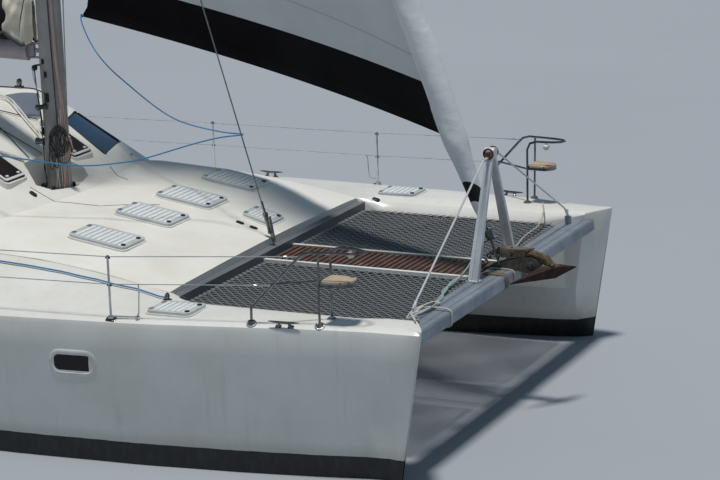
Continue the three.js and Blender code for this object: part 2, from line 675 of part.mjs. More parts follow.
function aFrame() {
  const { x, z } = APEX;
  const shape = [...STRUT_HALF, ...STRUT_HALF.map(([u, t]) => [-u, -t])];
  const section = (p, wide, deep) => shape.map(([u, t]) => [p[0] + u * deep, p[1] + t * wide, p[2]]);
  const strut = (s) => loft([
    section([STRUT.x, s * STRUT.y, BEAM.top + GAP], 60, 110),
    section([x, s * 30, z - 20], 42, 80),
  ]);
  const base = (s) => sideBox(STRUT.x - 65, STRUT.x + 85, STRUT.y - 60, STRUT.y + 60,
    BEAM.top + GAP, BEAM.top + 16, s);
  const foot = 6310;
  const stay = (s) => tube([[x, s * 205, z - 40], [foot, s * 2230, BEAM.top + 150]], 11, 6);
  const screw = (s) => (
    rod([foot, s * 2145, BEAM.top + 200], [foot, s * 2230, BEAM.top + LUG + GAP], 17, 8)
  );
  const head = rod([x - 55, 0, z], [x + 55, 0, z], 62, 14);
  const arm = rod([x, -215, z - 40], [x, 215, z - 40], 15, 8);
  return join(head, arm, SIDES.map(([, s]) => [strut(s), base(s), stay(s), screw(s)]).flat());
}

// The walkway: two rails with slats between them
const WALK = { rail: 387, railWide: 54, slat: 48, pitch: 75, slatHalf: 345 };

function walkway() {
  const [x0, x1] = [AFT_BEAM.front + GAP, BEAM.back - GAP];
  const rail = (s) => sideBox(x0, x1, WALK.rail - WALK.railWide, WALK.rail, 1440, 1500, s);
  const count = Math.floor((x1 - x0) / WALK.pitch);
  const start = x0 + (x1 - x0 - (count - 1) * WALK.pitch - WALK.slat) / 2;
  const slats = Array.from({ length: count }, (_, i) => {
    const x = start + i * WALK.pitch;
    return box(x, x + WALK.slat, -WALK.slatHalf, WALK.slatHalf, 1462, 1488);
  });
  return join(rail(1), rail(-1), slats);
}

// Each net is a thin slab laced between the beams, the hull and the walkway
function net() {
  const { top, thick, side, inner, edge } = NET;
  return box(AFT_BEAM.front + edge, BEAM.back - edge, inner, side, top - thick, top);
}

// Lacings carry the net: short strips from its border to each side
const LACING = { step: 165, wide: 10, low: 1456, high: 1468, overlap: 6 };

function netFrame() {
  const { step, wide, low, high, overlap } = LACING;
  const [x0, x1, y0, y1] = [AFT_BEAM.front + GAP, BEAM.back - GAP, WALK.rail + GAP, INNER + 150];
  const strips = [];
  for (let x = x0 + 90; x < x1 - 60; x += step) {
    strips.push(box(x, x + wide, y0, NET.inner + overlap, low, high));
    strips.push(box(x, x + wide, NET.side - overlap, y1, low, high));
  }
  for (let y = 510; y < NET.side - 40; y += step) {
    strips.push(box(x0, AFT_BEAM.front + NET.edge + overlap, y, y + wide, low, high));
    strips.push(box(BEAM.back - NET.edge - overlap, x1, y, y + wide, low, high));
  }
  return strips;
}

// The pulpit on each bow, with its seat. Heights are above the deck
const RAIL = { radius: 14, foot: 1606, top: 740, seat: 405, board: 39 };
// Columns: x, y, height
const TOP_RAIL = [
  [4915, 3050, 0], [4918, 3050, 140], [5400, 2990, 650], [5470, 2975, 715], [5560, 2965, RAIL.top],
  [5900, 2915, RAIL.top], [6010, 2880, RAIL.top], [6060, 2820, RAIL.top], [6040, 2750, RAIL.top],
  [5940, 2705, RAIL.top], [5750, 2690, RAIL.top], [5670, 2688, 715], [5635, 2686, 640],
  [5630, 2686, 0],
];
const SEAT_RAIL = [
  [5130, 3021, 395], [5640, 2700, 400], [5860, 2690, 400], [5935, 2760, 400], [5935, 2840, 400],
  [5860, 2920, 400], [5630, 2950, 395],
];
// Columns: x, y
const SEAT = [
  [5640, 2675], [5850, 2665], [5925, 2700], [5955, 2790], [5925, 2880], [5850, 2935], [5640, 2950],
];
const PULPIT_FEET = [[4915, 3050], [5620, 2943], [5630, 2686]];

function pulpit() {
  const up = (h) => RAIL.foot + h;
  const raised = (points) => points.map(([x, y, h]) => [x, y, up(h)]);
  const middle = rod([5620, 2943, up(0)], [5632, 2955, up(RAIL.top)], 13);
  const under = up(RAIL.seat + 1);
  const board = plate(SEAT, 'xy', under, under + RAIL.board);
  const feet = PULPIT_FEET.map(([x, y]) => (
    rod([x, y, deckHeight(x, y) + GAP + 1], [x, y, up(12)], 38, 10)
  ));
  return join(tube(raised(TOP_RAIL), RAIL.radius), middle, tube(raised(SEAT_RAIL), 12), board, feet);
}

// Stanchions and wires along each side. Columns: x, y
const POSTS = [[3410, 3254], [1030, 3365], [-1350, 3395], [-3500, 3372], [-4700, 3335]];
const GUARD = { high: 645, low: 357 };
// Where the wires meet the pulpit
const GUARD_ENDS = [[5455, 2980, 2300], [5130, 3020, 1990]];

// The bent brace at the foremost post, which differs from side to side.
// Columns: x and y from the post, height
const BRACES = {
  port: [[0, 0, 60], [-115, 2, 75], [-128, 2, 110], [-140, 3, 330], [-160, 3, GUARD.low]],
  starboard: [[0, -4, 22], [275, -46, 22], [300, -50, 60], [315, -52, 300], [316, -42, GUARD.low]],
};
const BRACE_FOOT = [285, -48];

function lifelines(side) {
  const at = ([x, y], h) => [x, y, deckHeight(x, y) + h];
  const foot = (p) => at(p, GAP + 1);
  const posts = POSTS.flatMap((p) => [
    rod(foot(p), at(p, GUARD.high + 15), 13),
    rod(foot(p), at(p, 25), 34, 10),
  ]);
  const wires = [GUARD.high, GUARD.low].map((h, i) => (
    tube([GUARD_ENDS[i], ...POSTS.map((p) => at(p, h))], 5, 5)
  ));
  const [x, y] = POSTS[0];
  const bent = side > 0 ? BRACES.port : BRACES.starboard;
  const brace = tube(bent.map(([dx, dy, h]) => at([x + dx, y + dy], h)), 9, 6);
  const end = [x + BRACE_FOOT[0], y + BRACE_FOOT[1]];
  const rest = side > 0 ? [] : [rod(foot(end), at(end, 30), 26, 8)];
  return join(posts, wires, brace, rest);
}

// Mast: an oval tube, solid here, with two pairs of swept spreaders
function oval(x, z, chord, width, steps = 14) {
  return Array.from({ length: steps }, (_, i) => {
    const a = (2 * Math.PI * i) / steps;
    return [x + (chord / 2) * Math.cos(a), (width / 2) * Math.sin(a), z];
  });
}
const RAKE = 0.006;
const rake = (z) => MAST.x - RAKE * (z - MAST.foot);
// Spreaders. Columns: height, half span, sweep aft
const SPREADERS = [[7400, 1150, 420], [12100, 900, 330]];

// The tube from its foot up. Columns: height, share of the full size
const MAST_SECTIONS = [[MAST.foot + GAP, 1], [9000, 1], [MAST.hounds, 0.98], [MAST.top, 0.62]];
const SPREADER_RISE = 60;

function spreader([z, span, sweep], side) {
  const diamond = (x, y, level, long, thick) => [
    [x + long, y, level], [x, y, level + thick], [x - long, y, level], [x, y, level - thick],
  ];
  return loft([
    diamond(rake(z), 0, z, 85, 26),
    diamond(rake(z) - sweep, side * span, z + SPREADER_RISE, 38, 12),
  ]);
}

// The pin that the boom turns on, with an ear above and below it that hold it to the mast
const EAR = { half: 26, spread: 82, thick: 9, back: 28 };

function gooseneck() {
  const { x, z, pin } = BOOM;
  const reach = EAR.spread + 13;
  const end = rake(z) - MAST.chord / 2 + 30;
  const ears = [1, -1].map((s) => {
    const middle = z + s * EAR.spread;
    return box(x - EAR.back, end, -EAR.half, EAR.half, middle - EAR.thick, middle + EAR.thick);
  });
  return [rod([x, 0, z - reach], [x, 0, z + reach], pin, 16), ...ears];
}

function mast() {
  const { x, foot, chord, width } = MAST;
  const body = loft(MAST_SECTIONS.map(([z, k]) => oval(rake(z), z, chord * k, width * k)));
  const collar = loft([oval(x, foot + GAP, 400, 260), oval(x, foot + 45, 390, 250)]);
  const arms = SPREADERS.flatMap((row) => SIDES.map(([, s]) => spreader(row, s)));
  const step = rod([BOOM.x + 42, 0, BOOM.z], [rake(BOOM.z) - chord / 2 + 20, 0, BOOM.z], 26, 10);
  return join(body, collar, arms, step, gooseneck());
}

// Standing rigging: the port shroud from its chainplate past both spreaders, and the inner stay
function shroud() {
  const { x, y } = CHAINPLATE;
  const foot = [x, y, deckHeight(x, y) + GAP + 1];
  const tips = SPREADERS.map(([z, span, sweep]) => [rake(z) - sweep, span + 13, z + SPREADER_RISE]);
  const head = [rake(MAST.hounds), MAST.width / 2 + 14, MAST.hounds];
  return join(tube([foot, ...tips, head], 8, 5), rod(foot, [x, y, foot[2] + 120], 20, 8));
}

function innerStay() {
  const [x, , z] = INNER_STAY_FOOT;
  const head = [rake(INNER_STAY_HEAD) + MAST.chord / 2 + 6, 0, INNER_STAY_HEAD];
  return join(tube([INNER_STAY_FOOT, head], 9, 6), rod([x, 0, z + 60], [x - 55, 0, z + 340], 20, 8));
}

// The aft beam of the nets, which the inner stay pulls on
function aftBeam() {
  const half = INNER - GAP * 2;
  return box(AFT_BEAM.back, AFT_BEAM.front, -half, half, AFT_BEAM.bottom, AFT_BEAM.top);
}

// The genoa: a roll on the forestay and the sail that leaves it, sheeted to port
const FORESTAY_HEAD = [rake(MAST.hounds) + MAST.chord / 2 + 30, 0, MAST.hounds - 150];
const stayAt = (z) => {
  const t = (z - STAY_FOOT[2]) / (FORESTAY_HEAD[2] - STAY_FOOT[2]);
  return [mix(STAY_FOOT[0], FORESTAY_HEAD[0], t), 0, z];
};
const CLEW = [-120, 2200, 3700];
const FOOT_START = 2900;
const HEAD_Z = 15800;
// The rolled part of the sail. Columns: height, radius
const ROLL = [[TACK_Z, 55], [2350, 80], [2900, 150], [9000, 140], [14500, 90], [HEAD_Z + 150, 45]];

function genoa() {
  const rings = ROLL.map(([z, r]) => {
    const [x, y] = stayAt(z);
    return Array.from({ length: 10 }, (_, k) => {
      const a = (2 * Math.PI * k) / 10;
      return [x + r * Math.cos(a), y + r * Math.sin(a), z];
    });
  });
  const top = tube([stayAt(HEAD_Z), FORESTAY_HEAD], 10, 6);
  const drum = rod(stayAt(1830), stayAt(1960), 95, 14);
  const [x, y] = STAY_FOOT;
  const link = tube([[x, y, BEAM.top + GAP * 2], stayAt(TACK_Z + 50)], 16, 6);
  const guard = tube([[APEX.x - 10, 0, APEX.z - 900], stayAt(TACK_Z + 200)], 14, 6);
  const low = box(6000, 7000, -50, 50, 1900, 2200);
  return join(loft(rings), sailBody(), link, drum, top, guard.intersect(low));
}

// Sail surface: from the roll to the leech, bellied to port. s runs aft, t runs up
const SAIL = { belly: 560, sag: 85, headX: 1280, headY: 30 };
function sailPoint(s, t, lift) {
  const luff = stayAt(mix(FOOT_START, HEAD_Z, t));
  const leech = [
    mix(CLEW[0], SAIL.headX, t ** 0.55),
    SAIL.headY + (CLEW[1] - SAIL.headY) * (1 - t) ** 2.2,
    mix(CLEW[2], HEAD_Z + 60, t),
  ];
  const curve = 4 * s * (1 - s);
  const [x, y, z] = luff.map((v, i) => mix(v, leech[i], s));
  const belly = SAIL.belly * curve * (1 - t) ** 0.8;
  const sag = SAIL.sag * curve * (1 - t) ** 4;
  return [x + lift * 0.35, y + belly + lift, z - sag];
}

function sailBody() {
  const [cols, rows] = [12, 9];
  const rings = [];
  for (let j = 0; j <= rows; j += 1) {
    const t = (j / rows) * 0.985;
    const front = Array.from({ length: cols + 1 }, (_, i) => sailPoint(i / cols, t, 6));
    const back = Array.from({ length: cols + 1 }, (_, i) => sailPoint(1 - i / cols, t, -6));
    rings.push([...front, ...back]);
  }
  return loft(rings);
}

// The slack sheet hangs from the genoa's clew, passes round the front of the inner stay and ends
// at its lead. Its points are its centre line.
const SHEET = { radius: 8, steps: 3 };
const SHEET_ROUTE = [
  [-100, 2200, 3713], [-99, 2150, 3709], [-80, 2108, 3676], [-25, 2065, 3590],
  [90, 2005, 3430], [250, 1922, 3282], [462, 1800, 3160], [850, 1500, 3055],
  [1750, 840, 2845], [2153, 600, 2784], [2924, 150, 2797], [3150, 58, 2810], [3229, 40, 2814],
  [3257, 28, 2815], [3269, 0, 2815], [3257, -28, 2814], [3229, -40, 2812], [3044, -120, 2793],
  [2791, -250, 2735], [2440, -660, 2643], [2351, -775, 2626], [2154, -880, 2600],
  [1770, -1060, 2584], [941, -1390, 2711], [100, -1570, 2786], [-450, -1683, 2850],
  [-790, -1748, 2876],
];

function slackSheet() {
  const curve = new THREE.CatmullRomCurve3(SHEET_ROUTE.map(vec), false, 'centripetal');
  const count = (SHEET_ROUTE.length - 1) * SHEET.steps;
  return tube(curve.getPoints(count).map((p) => p.toArray()), SHEET.radius);
}

// The boom rises a little aft. Its tongue turns on the mast's pin
const BOOM_RISE = 0.03;
const riseAt = (x) => BOOM_RISE * (BOOM.x - x);

function boom() {
  const { x, z, length, height, width } = BOOM;
  const front = x - 60;
  const ring = (at) => Array.from({ length: 12 }, (_, i) => {
    const a = (2 * Math.PI * i) / 12;
    return [at, (width / 2) * Math.cos(a), z + (height / 2) * Math.sin(a) + riseAt(at)];
  });
  const hole = bore([x, 0, z - 100], [x, 0, z + 100], BOOM.pin);
  const tongue = cut(box(front - 60, x + 22, -24, 24, z - 66, z + 66), hole);
  return join(loft([ring(front), ring(x - length)]), tongue);
}

// The bag that holds the lowered mainsail on the boom. Columns: x, share of its full size
const BAG_SECTIONS = [[470, 0.55], [250, 0.9], [-600, 1], [-2000, 0.9], [-3400, 0.72], [-4400, 0.5]];
// Half of its section, from below. Columns: share of its half width, share of its height
const BAG_SIDE = [[0.42, 0], [0.95, 0.12], [1, 0.45], [0.75, 0.85], [0.28, 1], [0, 1.02]];
const BAG = { half: 235, height: 620 };

function sailBag() {
  const rings = BAG_SECTIONS.map(([x, k]) => {
    const base = BOOM.z + BOOM.height / 2 + riseAt(x) + GAP;
    const half = BAG.half * Math.min(k + 0.1, 1);
    const right = BAG_SIDE.map(([y, z]) => [x, half * y, base + BAG.height * z * k]);
    return [...right, ...right.slice(0, -1).reverse().map(([a, y, z]) => [a, -y, z])];
  });
  return loft(rings);
}

// The plough anchor lies on its roller, forward of the beam, with its share turned a little
const ROLLER = { x: 6700, z: 1560, y: 95, radius: 85, gap: 47 };
const SHANK = 40;

// The two halves of the share: the tip and the heel of each
const FLUKES = [
  { tip: [7075, 420, 1495], heel: [6930, 250, 1500] },
  { tip: [6600, -330, 1450], heel: [6760, -60, 1490] },
];

function anchor() {
  const { x, y, z, radius } = ROLLER;
  const over = z + radius + SHANK;
  const shank = tube(
    [[6290, y, over], [6560, y, over + 3], [x, y, over + 1], [6800, y, over - 20], [6880, y, 1585]],
    SHANK,
    8,
  );
  const lump = rod([6830, y, 1640], [6930, y, 1560], 62, 10, 40);
  const spine = [[6890, y, 1600], [6975, y, 1560], [6955, y, 1432], [6840, y, 1480]];
  const share = FLUKES.map(({ tip, heel }) => {
    const [tipX, tipY, tipZ] = tip;
    return wasm.Manifold.hull([tip, [tipX, tipY, tipZ - 12], heel, ...spine]);
  });
  return join(shank, lump, share);
}

function anchorRoller() {
  const { x, z, y, radius, gap } = ROLLER;
  const nose = [-90, -45, 0, 45, 90].map((degrees) => {
    const a = THREE.MathUtils.degToRad(degrees);
    return [x + (radius + 8) * Math.cos(a), z + (radius + 8) * Math.sin(a)];
  });
  const foot = BEAM.top + GAP;
  const outline = [[6220, foot], [6500, foot], ...nose, [6560, 1640], [6300, 1560], [6220, 1530]];
  const cheeks = [y - gap - 10, y + gap].map((low) => plate(outline, 'xz', low, low + 10));
  const wheel = rod([x, y - gap - 5, z], [x, y + gap + 5, z], radius, 20);
  const base = box(6230, 6490, y - gap - 5, y + gap + 5, BEAM.top + GAP, BEAM.top + 12);
  return join(cheeks, base, wheel);
}

// Winches on the side decks by the cockpit. Columns of the profile: radius, height
const WINCH = { x: -3750, y: 2560 };
const DRUM = [[0, 0], [85, 0], [85, 25], [62, 45], [55, 110], [72, 150], [72, 175], [50, 190], [0, 190]];

function winch() {
  const { x, y } = WINCH;
  const z = deckHeight(x, y) + GAP + 2;
  const g = new THREE.LatheGeometry(DRUM.map(([a, b]) => new THREE.Vector2(a, b)), 16);
  return toSolid(g.rotateX(Math.PI / 2).translate(x, y, z));
}

// Colours. Columns: colour, roughness, metalness
const FINISH = {
  gelcoat: [0xe9e4d8, 0.35, 0],
  alloy: [0x9a9da0, 0.45, 0.8],
  steel: [0xd5d7d8, 0.2, 1],
  net: [0x2c2e31, 0.95, 0],
  wood: [0x6d4a35, 0.7, 0],
  glass: [0x4c5c6e, 0.1, 0],
  smoked: [0x17100f, 0.1, 0],
  sail: [0xb9bbbb, 0.8, 0],
  bag: [0x0d0d10, 0.9, 0],
  rust: [0x5a3f2a, 0.95, 0.1],
  bronze: [0x9b7a45, 0.4, 0.9],
  rope: [0x2f7fb5, 0.8, 0],
  lid: [0xb9c0c2, 0.5, 0],
  mast: [0x77736c, 0.6, 0.4],
  paint: [0x17181b, 0.6, 0],
};

const boat = new THREE.Group();

function add(name, finish, solid) {
  const [color, roughness, metalness] = FINISH[finish];
  const material = new THREE.MeshStandardMaterial({ color, roughness, metalness });
  const mesh = new THREE.Mesh(toGeometry(solid), material);
  mesh.name = name;
  boat.add(mesh);
}

const beamSolid = crossbeam();
const mastSolid = mast();
const genoaSolid = clear(genoa(), beamSolid, [0, 0, GAP]);
const roofSolid = coachroof();
// Each hull and what stands on it, is hung under it or is fitted beside it
for (const [name, side] of SIDES) {
  const body = hull(side);
  const stand = (solid) => clear(mirrorY(solid, side), body, [0, 0, GAP]);
  add(`hull_${name}`, 'gelcoat', body);
  add(`rudder_${name}`, 'paint', mirrorY(rudder(), side));
  add(`saildrive_${name}`, 'paint', clear(mirrorY(saildrive(), side), body, [0, 0, -GAP]));
  add(`propeller_${name}`, 'bronze', mirrorY(propeller(), side));
  const laced = mirrorY(join(net(), netFrame()), side);
  add(`net_${name}`, 'net', clear(laced, body, [0, -side * GAP, 0]));
  const rail = stand(pulpit());
  add(`pulpit_${name}`, 'steel', rail);
  add(`lifelines_${name}`, 'steel', clear(stand(lifelines(side)), rail, [-GAP, 0, 0]));
  add(`shroud_${name}`, 'steel', stand(shroud()));
  add(`side_window_${name}`, 'glass', sidePane(side));
  add(`winch_${name}`, 'steel', stand(winch()));
}
add('bridgedeck', 'gelcoat', bridgedeck());
add('coachroof', 'gelcoat', roofSolid);
for (const [name, side] of SIDES) add(`front_window_${name}`, 'glass', frontPane(side));
for (const hatch of HATCHES) add(`hatch_${hatch[0]}`, 'lid', hatchLid(hatch));
for (const hatch of ROOF_HATCHES) add(`hatch_${hatch[0]}`, 'smoked', roofHatchLid(hatch));
add('saloon_door', 'glass', door());
add('cockpit_benches', 'gelcoat', benches());
add('cockpit_table', 'gelcoat', table());
add('steering_stand', 'gelcoat', steeringStand());
add('steering_wheel', 'steel', steeringWheel());
add('hard_top', 'gelcoat', hardTop());
add('crossbeam', 'alloy', beamSolid);
add('aft_beam', 'alloy', aftBeam());
add('a_frame', 'alloy', clear(aFrame(), beamSolid, [0, 0, GAP]));
add('walkway', 'wood', walkway());
add('mast', 'mast', mastSolid);
const standingStay = clear(innerStay(), aftBeam(), [0, 0, GAP]);
add('inner_stay', 'steel', clear(standingStay, mastSolid, [GAP, 0, 0]));
add('genoa', 'sail', genoaSolid);
const trimmedSheet = clear(slackSheet(), genoaSolid, [0, -GAP, 0]);
add('slack_sheet', 'rope', clear(trimmedSheet, roofSolid, [GAP, 0, 0]));
add('boom', 'mast', boom());
add('sail_bag', 'bag', sailBag());
add('anchor', 'rust', clear(anchor(), anchorRoller(), [0, 0, GAP]));
add('anchor_roller', 'steel', anchorRoller());

export default boat;
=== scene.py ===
from math import copysign, cos, dist, pi, radians, sin, sqrt

import bpy
import numpy as np
from mathutils import Matrix, Vector
from mathutils.bvhtree import BVHTree


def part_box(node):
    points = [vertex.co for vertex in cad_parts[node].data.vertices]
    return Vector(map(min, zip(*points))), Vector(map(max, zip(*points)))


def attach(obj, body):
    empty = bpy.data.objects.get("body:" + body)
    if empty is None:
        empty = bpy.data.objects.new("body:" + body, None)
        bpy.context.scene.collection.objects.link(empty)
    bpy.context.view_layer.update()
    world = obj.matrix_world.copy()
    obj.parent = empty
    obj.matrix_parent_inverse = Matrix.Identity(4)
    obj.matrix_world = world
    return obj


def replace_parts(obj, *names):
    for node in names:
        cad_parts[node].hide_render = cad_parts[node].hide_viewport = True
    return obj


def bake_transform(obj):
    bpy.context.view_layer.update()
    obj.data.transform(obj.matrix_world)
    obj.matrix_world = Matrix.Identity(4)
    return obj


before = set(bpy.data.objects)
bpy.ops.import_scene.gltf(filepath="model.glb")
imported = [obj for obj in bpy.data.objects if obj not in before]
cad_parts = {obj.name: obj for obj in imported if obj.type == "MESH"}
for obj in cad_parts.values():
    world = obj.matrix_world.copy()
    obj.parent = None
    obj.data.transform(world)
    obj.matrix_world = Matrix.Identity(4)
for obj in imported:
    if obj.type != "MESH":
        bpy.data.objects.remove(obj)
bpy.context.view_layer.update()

SIDES = (("port", 1), ("starboard", -1))
BOTH = (-1, 1)

# Camera of the photograph, turned into the boat's frame
CAMERA = {"place": (15.991, -23.686, 8.178), "yaw": -25.515, "pitch": 13.855, "roll": -1.822}
LENS, SENSOR, CLIP_END = 121.81, 36, 3000


def axes(x, y, z, origin):
    """The place at an origin with these three axes."""
    return Matrix.Translation(origin) @ Matrix((x, y, z)).transposed().to_4x4()


def shown(obj):
    bpy.context.scene.collection.objects.link(obj)
    return obj


def add_camera():
    yaw, pitch, roll = (radians(CAMERA[k]) for k in ("yaw", "pitch", "roll"))
    ahead = Vector((sin(yaw) * cos(pitch), cos(yaw) * cos(pitch), -sin(pitch)))
    level = Vector((cos(yaw), -sin(yaw), 0))
    upright = level.cross(ahead)
    right = cos(roll) * level + sin(roll) * upright
    up = cos(roll) * upright - sin(roll) * level
    data = bpy.data.cameras.new("camera")
    data.lens, data.sensor_width, data.clip_end = LENS, SENSOR, CLIP_END
    camera = shown(bpy.data.objects.new("camera", data))
    camera.matrix_world = axes(right, up, -ahead, CAMERA["place"])
    bpy.context.scene.camera = camera


# Colours as seen, 0 to 255
def tone(*colour):
    return tuple(((c / 255 + 0.055) / 1.055) ** 2.4 if c > 10 else c / 255 / 12.92 for c in colour) + (1,)


class Paint:
    """One node material. Sockets go in and come out as plain values or links."""

    def __init__(self, name):
        self.material = bpy.data.materials.new(name)
        self.material.use_nodes = True
        self.tree = self.material.node_tree
        self.shader = self.tree.nodes["Principled BSDF"]
        self.place = self.make("TexCoord").outputs["Object"]
        self.parts = self.make("SeparateXYZ", {0: self.place}).outputs

    def make(self, kind, inputs=None, **settings):
        node = self.tree.nodes.new("ShaderNode" + kind)
        for key, value in settings.items():
            setattr(node, key, value)
        for key, value in (inputs or {}).items():
            self.put(node.inputs[key], value)
        return node

    def put(self, socket, value):
        if isinstance(value, bpy.types.NodeSocket):
            self.tree.links.new(value, socket)
        else:
            socket.default_value = value

    def math(self, operation, a, b=0.0):
        return self.make("Math", {0: a, 1: b}, operation=operation).outputs[0]

    def add(self, a, b):
        return self.math("ADD", a, b)

    def less(self, a, b):
        return self.math("SUBTRACT", a, b)

    def times(self, a, b):
        return self.math("MULTIPLY", a, b)

    def mix(self, factor, a, b):
        return self.make("Mix", {0: factor, 6: a, 7: b}, data_type="RGBA").outputs[2]

    def step(self, value, low, high):
        """0 below low, 1 above high, smooth between."""
        return self.make("MapRange", {0: value, 1: low, 2: high}, interpolation_type="SMOOTHSTEP").outputs[0]

    def shades(self, value, low, high, colour, second):
        """One tone where the value is low, the second where it is high."""
        return self.mix(self.step(value, low, high), tone(*colour), tone(*second))

    def noise(self, scale, detail, stretch=(1, 1, 1)):
        moved = self.make("Mapping", {0: self.place, 3: stretch}).outputs[0]
        settings = {"Vector": moved, "Scale": scale, "Detail": detail, "Roughness": 0.55}
        return self.make("TexNoise", settings).outputs[0]

    def waves(self, scale, direction):
        inputs = {"Vector": self.place, "Scale": scale}
        return self.make("TexWave", inputs, bands_direction=direction).outputs[1]

    def level_top(self, low):
        """1 on faces that look up, 0 on the steep ones."""
        normal = self.make("NewGeometry").outputs["True Normal"]
        return self.step(self.make("SeparateXYZ", {0: normal}).outputs[2], low, 0.9)

    def bump(self, height, strength, distance, below=None):
        inputs = {"Height": height, "Strength": strength, "Distance": distance}
        if below is not None:
            inputs["Normal"] = below
        return self.make("Bump", inputs).outputs[0]

    def done(self, colour, rough, metal=0.0, normal=None, coat=0.0, sheen=0.0, specular=0.5):
        self.put(self.shader.inputs["Base Color"], colour)
        self.put(self.shader.inputs["Roughness"], rough)
        self.shader.inputs["Metallic"].default_value = metal
        self.shader.inputs["Coat Weight"].default_value = coat
        self.shader.inputs["Sheen Weight"].default_value = sheen
        self.shader.inputs["Specular IOR Level"].default_value = specular
        if normal is not None:
            self.put(self.shader.inputs["Normal"], normal)
        return self.material


GLOSS_SPREAD = 0.18
BOOT_TOP = 0.24
SLATS_END = 0.333
# Height below which the anchor's iron is painted dark: red rust together with painted shade.
RUST_AND_SHADE_LINE = 1.565


def plain(name, colour, second, rough, metal, scale, grain=0.0, coat=0.0):
    """Two tones in soft clouds, with uneven gloss and a fine grain."""
    p = Paint(name)
    cloud = p.noise(scale, 5.0)
    paint = p.shades(cloud, 0.35, 0.7, colour, second)
    shine = p.add(rough - GLOSS_SPREAD / 2, p.times(GLOSS_SPREAD, cloud))
    normal = p.bump(p.noise(scale * 14, 3.0), grain, 0.001) if grain else None
    return p.done(paint, shine, metal, normal, coat)


def hull_paint():
    """Cream gelcoat over a black band at the waterline, with faint runs and a soiled line over the band."""
    p = Paint("hull_paint")
    height, cloud = p.parts[2], p.noise(1.3, 5.0)
    skin = p.shades(cloud, 0.35, 0.72, (226, 226, 222), (217, 215, 207))
    runs = p.step(p.noise(9.0, 3.0, (1, 1, 0.06)), 0.55, 0.8)
    skin = p.mix(p.times(runs, 0.22), skin, tone(178, 168, 146))
    soil = p.less(1.0, p.step(height, BOOT_TOP, BOOT_TOP + 0.16))
    skin = p.mix(p.times(soil, 0.35), skin, tone(150, 146, 128))
    edge = p.add(BOOT_TOP, p.times(p.less(p.noise(5.0, 2.0), 0.5), 0.012))
    over = p.step(p.less(height, edge), -0.002, 0.002)
    bottom = p.shades(p.noise(12.0, 5.0, (1, 1, 0.5)), 0.4, 0.75, (17, 18, 20), (40, 42, 38))
    top = p.level_top(0.75)
    wavy = p.bump(p.noise(1.6, 2.0), 0.05, 0.02)
    normal = p.bump(p.times(top, p.noise(420.0, 2.0)), 0.35, 0.0012, wavy)
    rough = p.add(p.times(top, 0.25), p.add(0.2, p.times(cloud, 0.12)))
    rough = p.add(p.times(rough, over), p.times(p.less(1.0, over), 0.6))
    return p.done(p.mix(over, bottom, skin), rough, normal=normal, coat=0.2)


def deck_paint():
    """Gelcoat with a gritty tread on what faces up, and stains."""
    p = Paint("deck_paint")
    cloud = p.noise(1.7, 6.0)
    skin = p.shades(cloud, 0.35, 0.7, (233, 231, 225), (224, 221, 212))
    stain = p.times(p.step(p.noise(4.5, 6.0), 0.62, 0.8), 0.25)
    skin = p.mix(stain, skin, tone(196, 188, 170))
    top = p.level_top(0.72)
    normal = p.bump(p.times(top, p.noise(420.0, 2.0)), 0.4, 0.0012)
    rough = p.add(0.28, p.add(p.times(top, 0.28), p.times(cloud, 0.1)))
    return p.done(skin, rough, normal=normal, coat=0.1)


def brushed(name, colour, second, rough, along, scale=8.0, metal=0.85):
    """Metal with fine drawn lines and dulled patches."""
    p = Paint(name)
    line = p.bump(p.noise(60.0, 2.0, along), 0.12, 0.0006)
    cloud = p.noise(scale, 5.0)
    shine = p.add(rough - 0.1, p.times(0.3, cloud))
    return p.done(p.shades(cloud, 0.3, 0.75, colour, second), shine, metal, line)


def tinted(name, colour, rough=0.06):
    p = Paint(name)
    dust = p.noise(3.0, 6.0)
    paint = p.shades(dust, 0.45, 0.8, colour, [c + 10 for c in colour])
    return p.done(paint, p.add(rough, p.times(dust, 0.12)), specular=0.35)


def rusty():
    """Pale scale above; below a set height dark red rust, its darkness partly painted shade."""
    p = Paint("rusty_iron")
    patch = p.noise(16.0, 8.0)
    pit = p.make("TexVoronoi", {"Vector": p.place, "Scale": 90.0}).outputs[0]
    paint = p.shades(patch, 0.35, 0.65, (82, 68, 52), (122, 104, 80))
    paint = p.mix(p.step(p.noise(40.0, 4.0), 0.6, 0.75), paint, tone(158, 142, 116))
    # Below the line: dark red rust, made darker still as painted shade on the lower parts.
    low = p.shades(patch, 0.4, 0.7, (44, 30, 28), (78, 44, 34))
    paint = p.mix(p.step(p.parts[2], RUST_AND_SHADE_LINE - 0.02, RUST_AND_SHADE_LINE + 0.02), low, paint)
    return p.done(paint, 0.85, 0.15, p.bump(p.add(patch, pit), 0.7, 0.004))


def cloth_paint(name, colour, second, weave, sheen, wrinkle, specular=0.3, dark_between=None, panel=None):
    """Woven cloth, with a dark band between two heights or with seams between panels."""
    p = Paint(name)
    paint = p.shades(p.noise(1.1, 5.0), 0.3, 0.75, colour, second)
    if dark_between:
        slant = p.add(p.parts[2], p.times(p.parts[1], 0.9))
        low, high = (p.step(slant, z - 0.004, z + 0.004) for z in dark_between)
        paint = p.mix(p.times(low, p.less(1.0, high)), paint, tone(20, 20, 24))
    if panel:
        cut = p.add(p.parts[2], p.times(p.parts[0], 0.18))
        share = p.math("FRACT", p.math("DIVIDE", cut, panel))
        from_seam = p.math("ABSOLUTE", p.less(share, 0.5))
        seam = p.times(p.less(1.0, p.step(from_seam, 0.008, 0.013)), 0.45)
        paint = p.mix(seam, paint, tone(*(c * 0.72 for c in colour)))
    threads = p.add(p.waves(weave, "X"), p.waves(weave, "Z"))
    soft = p.bump(p.noise(2.4, 4.0, (1, 1, 1.8)), wrinkle, 0.03)
    return p.done(paint, 0.75, normal=p.bump(threads, 0.15, 0.0005, soft), sheen=sheen, specular=specular)


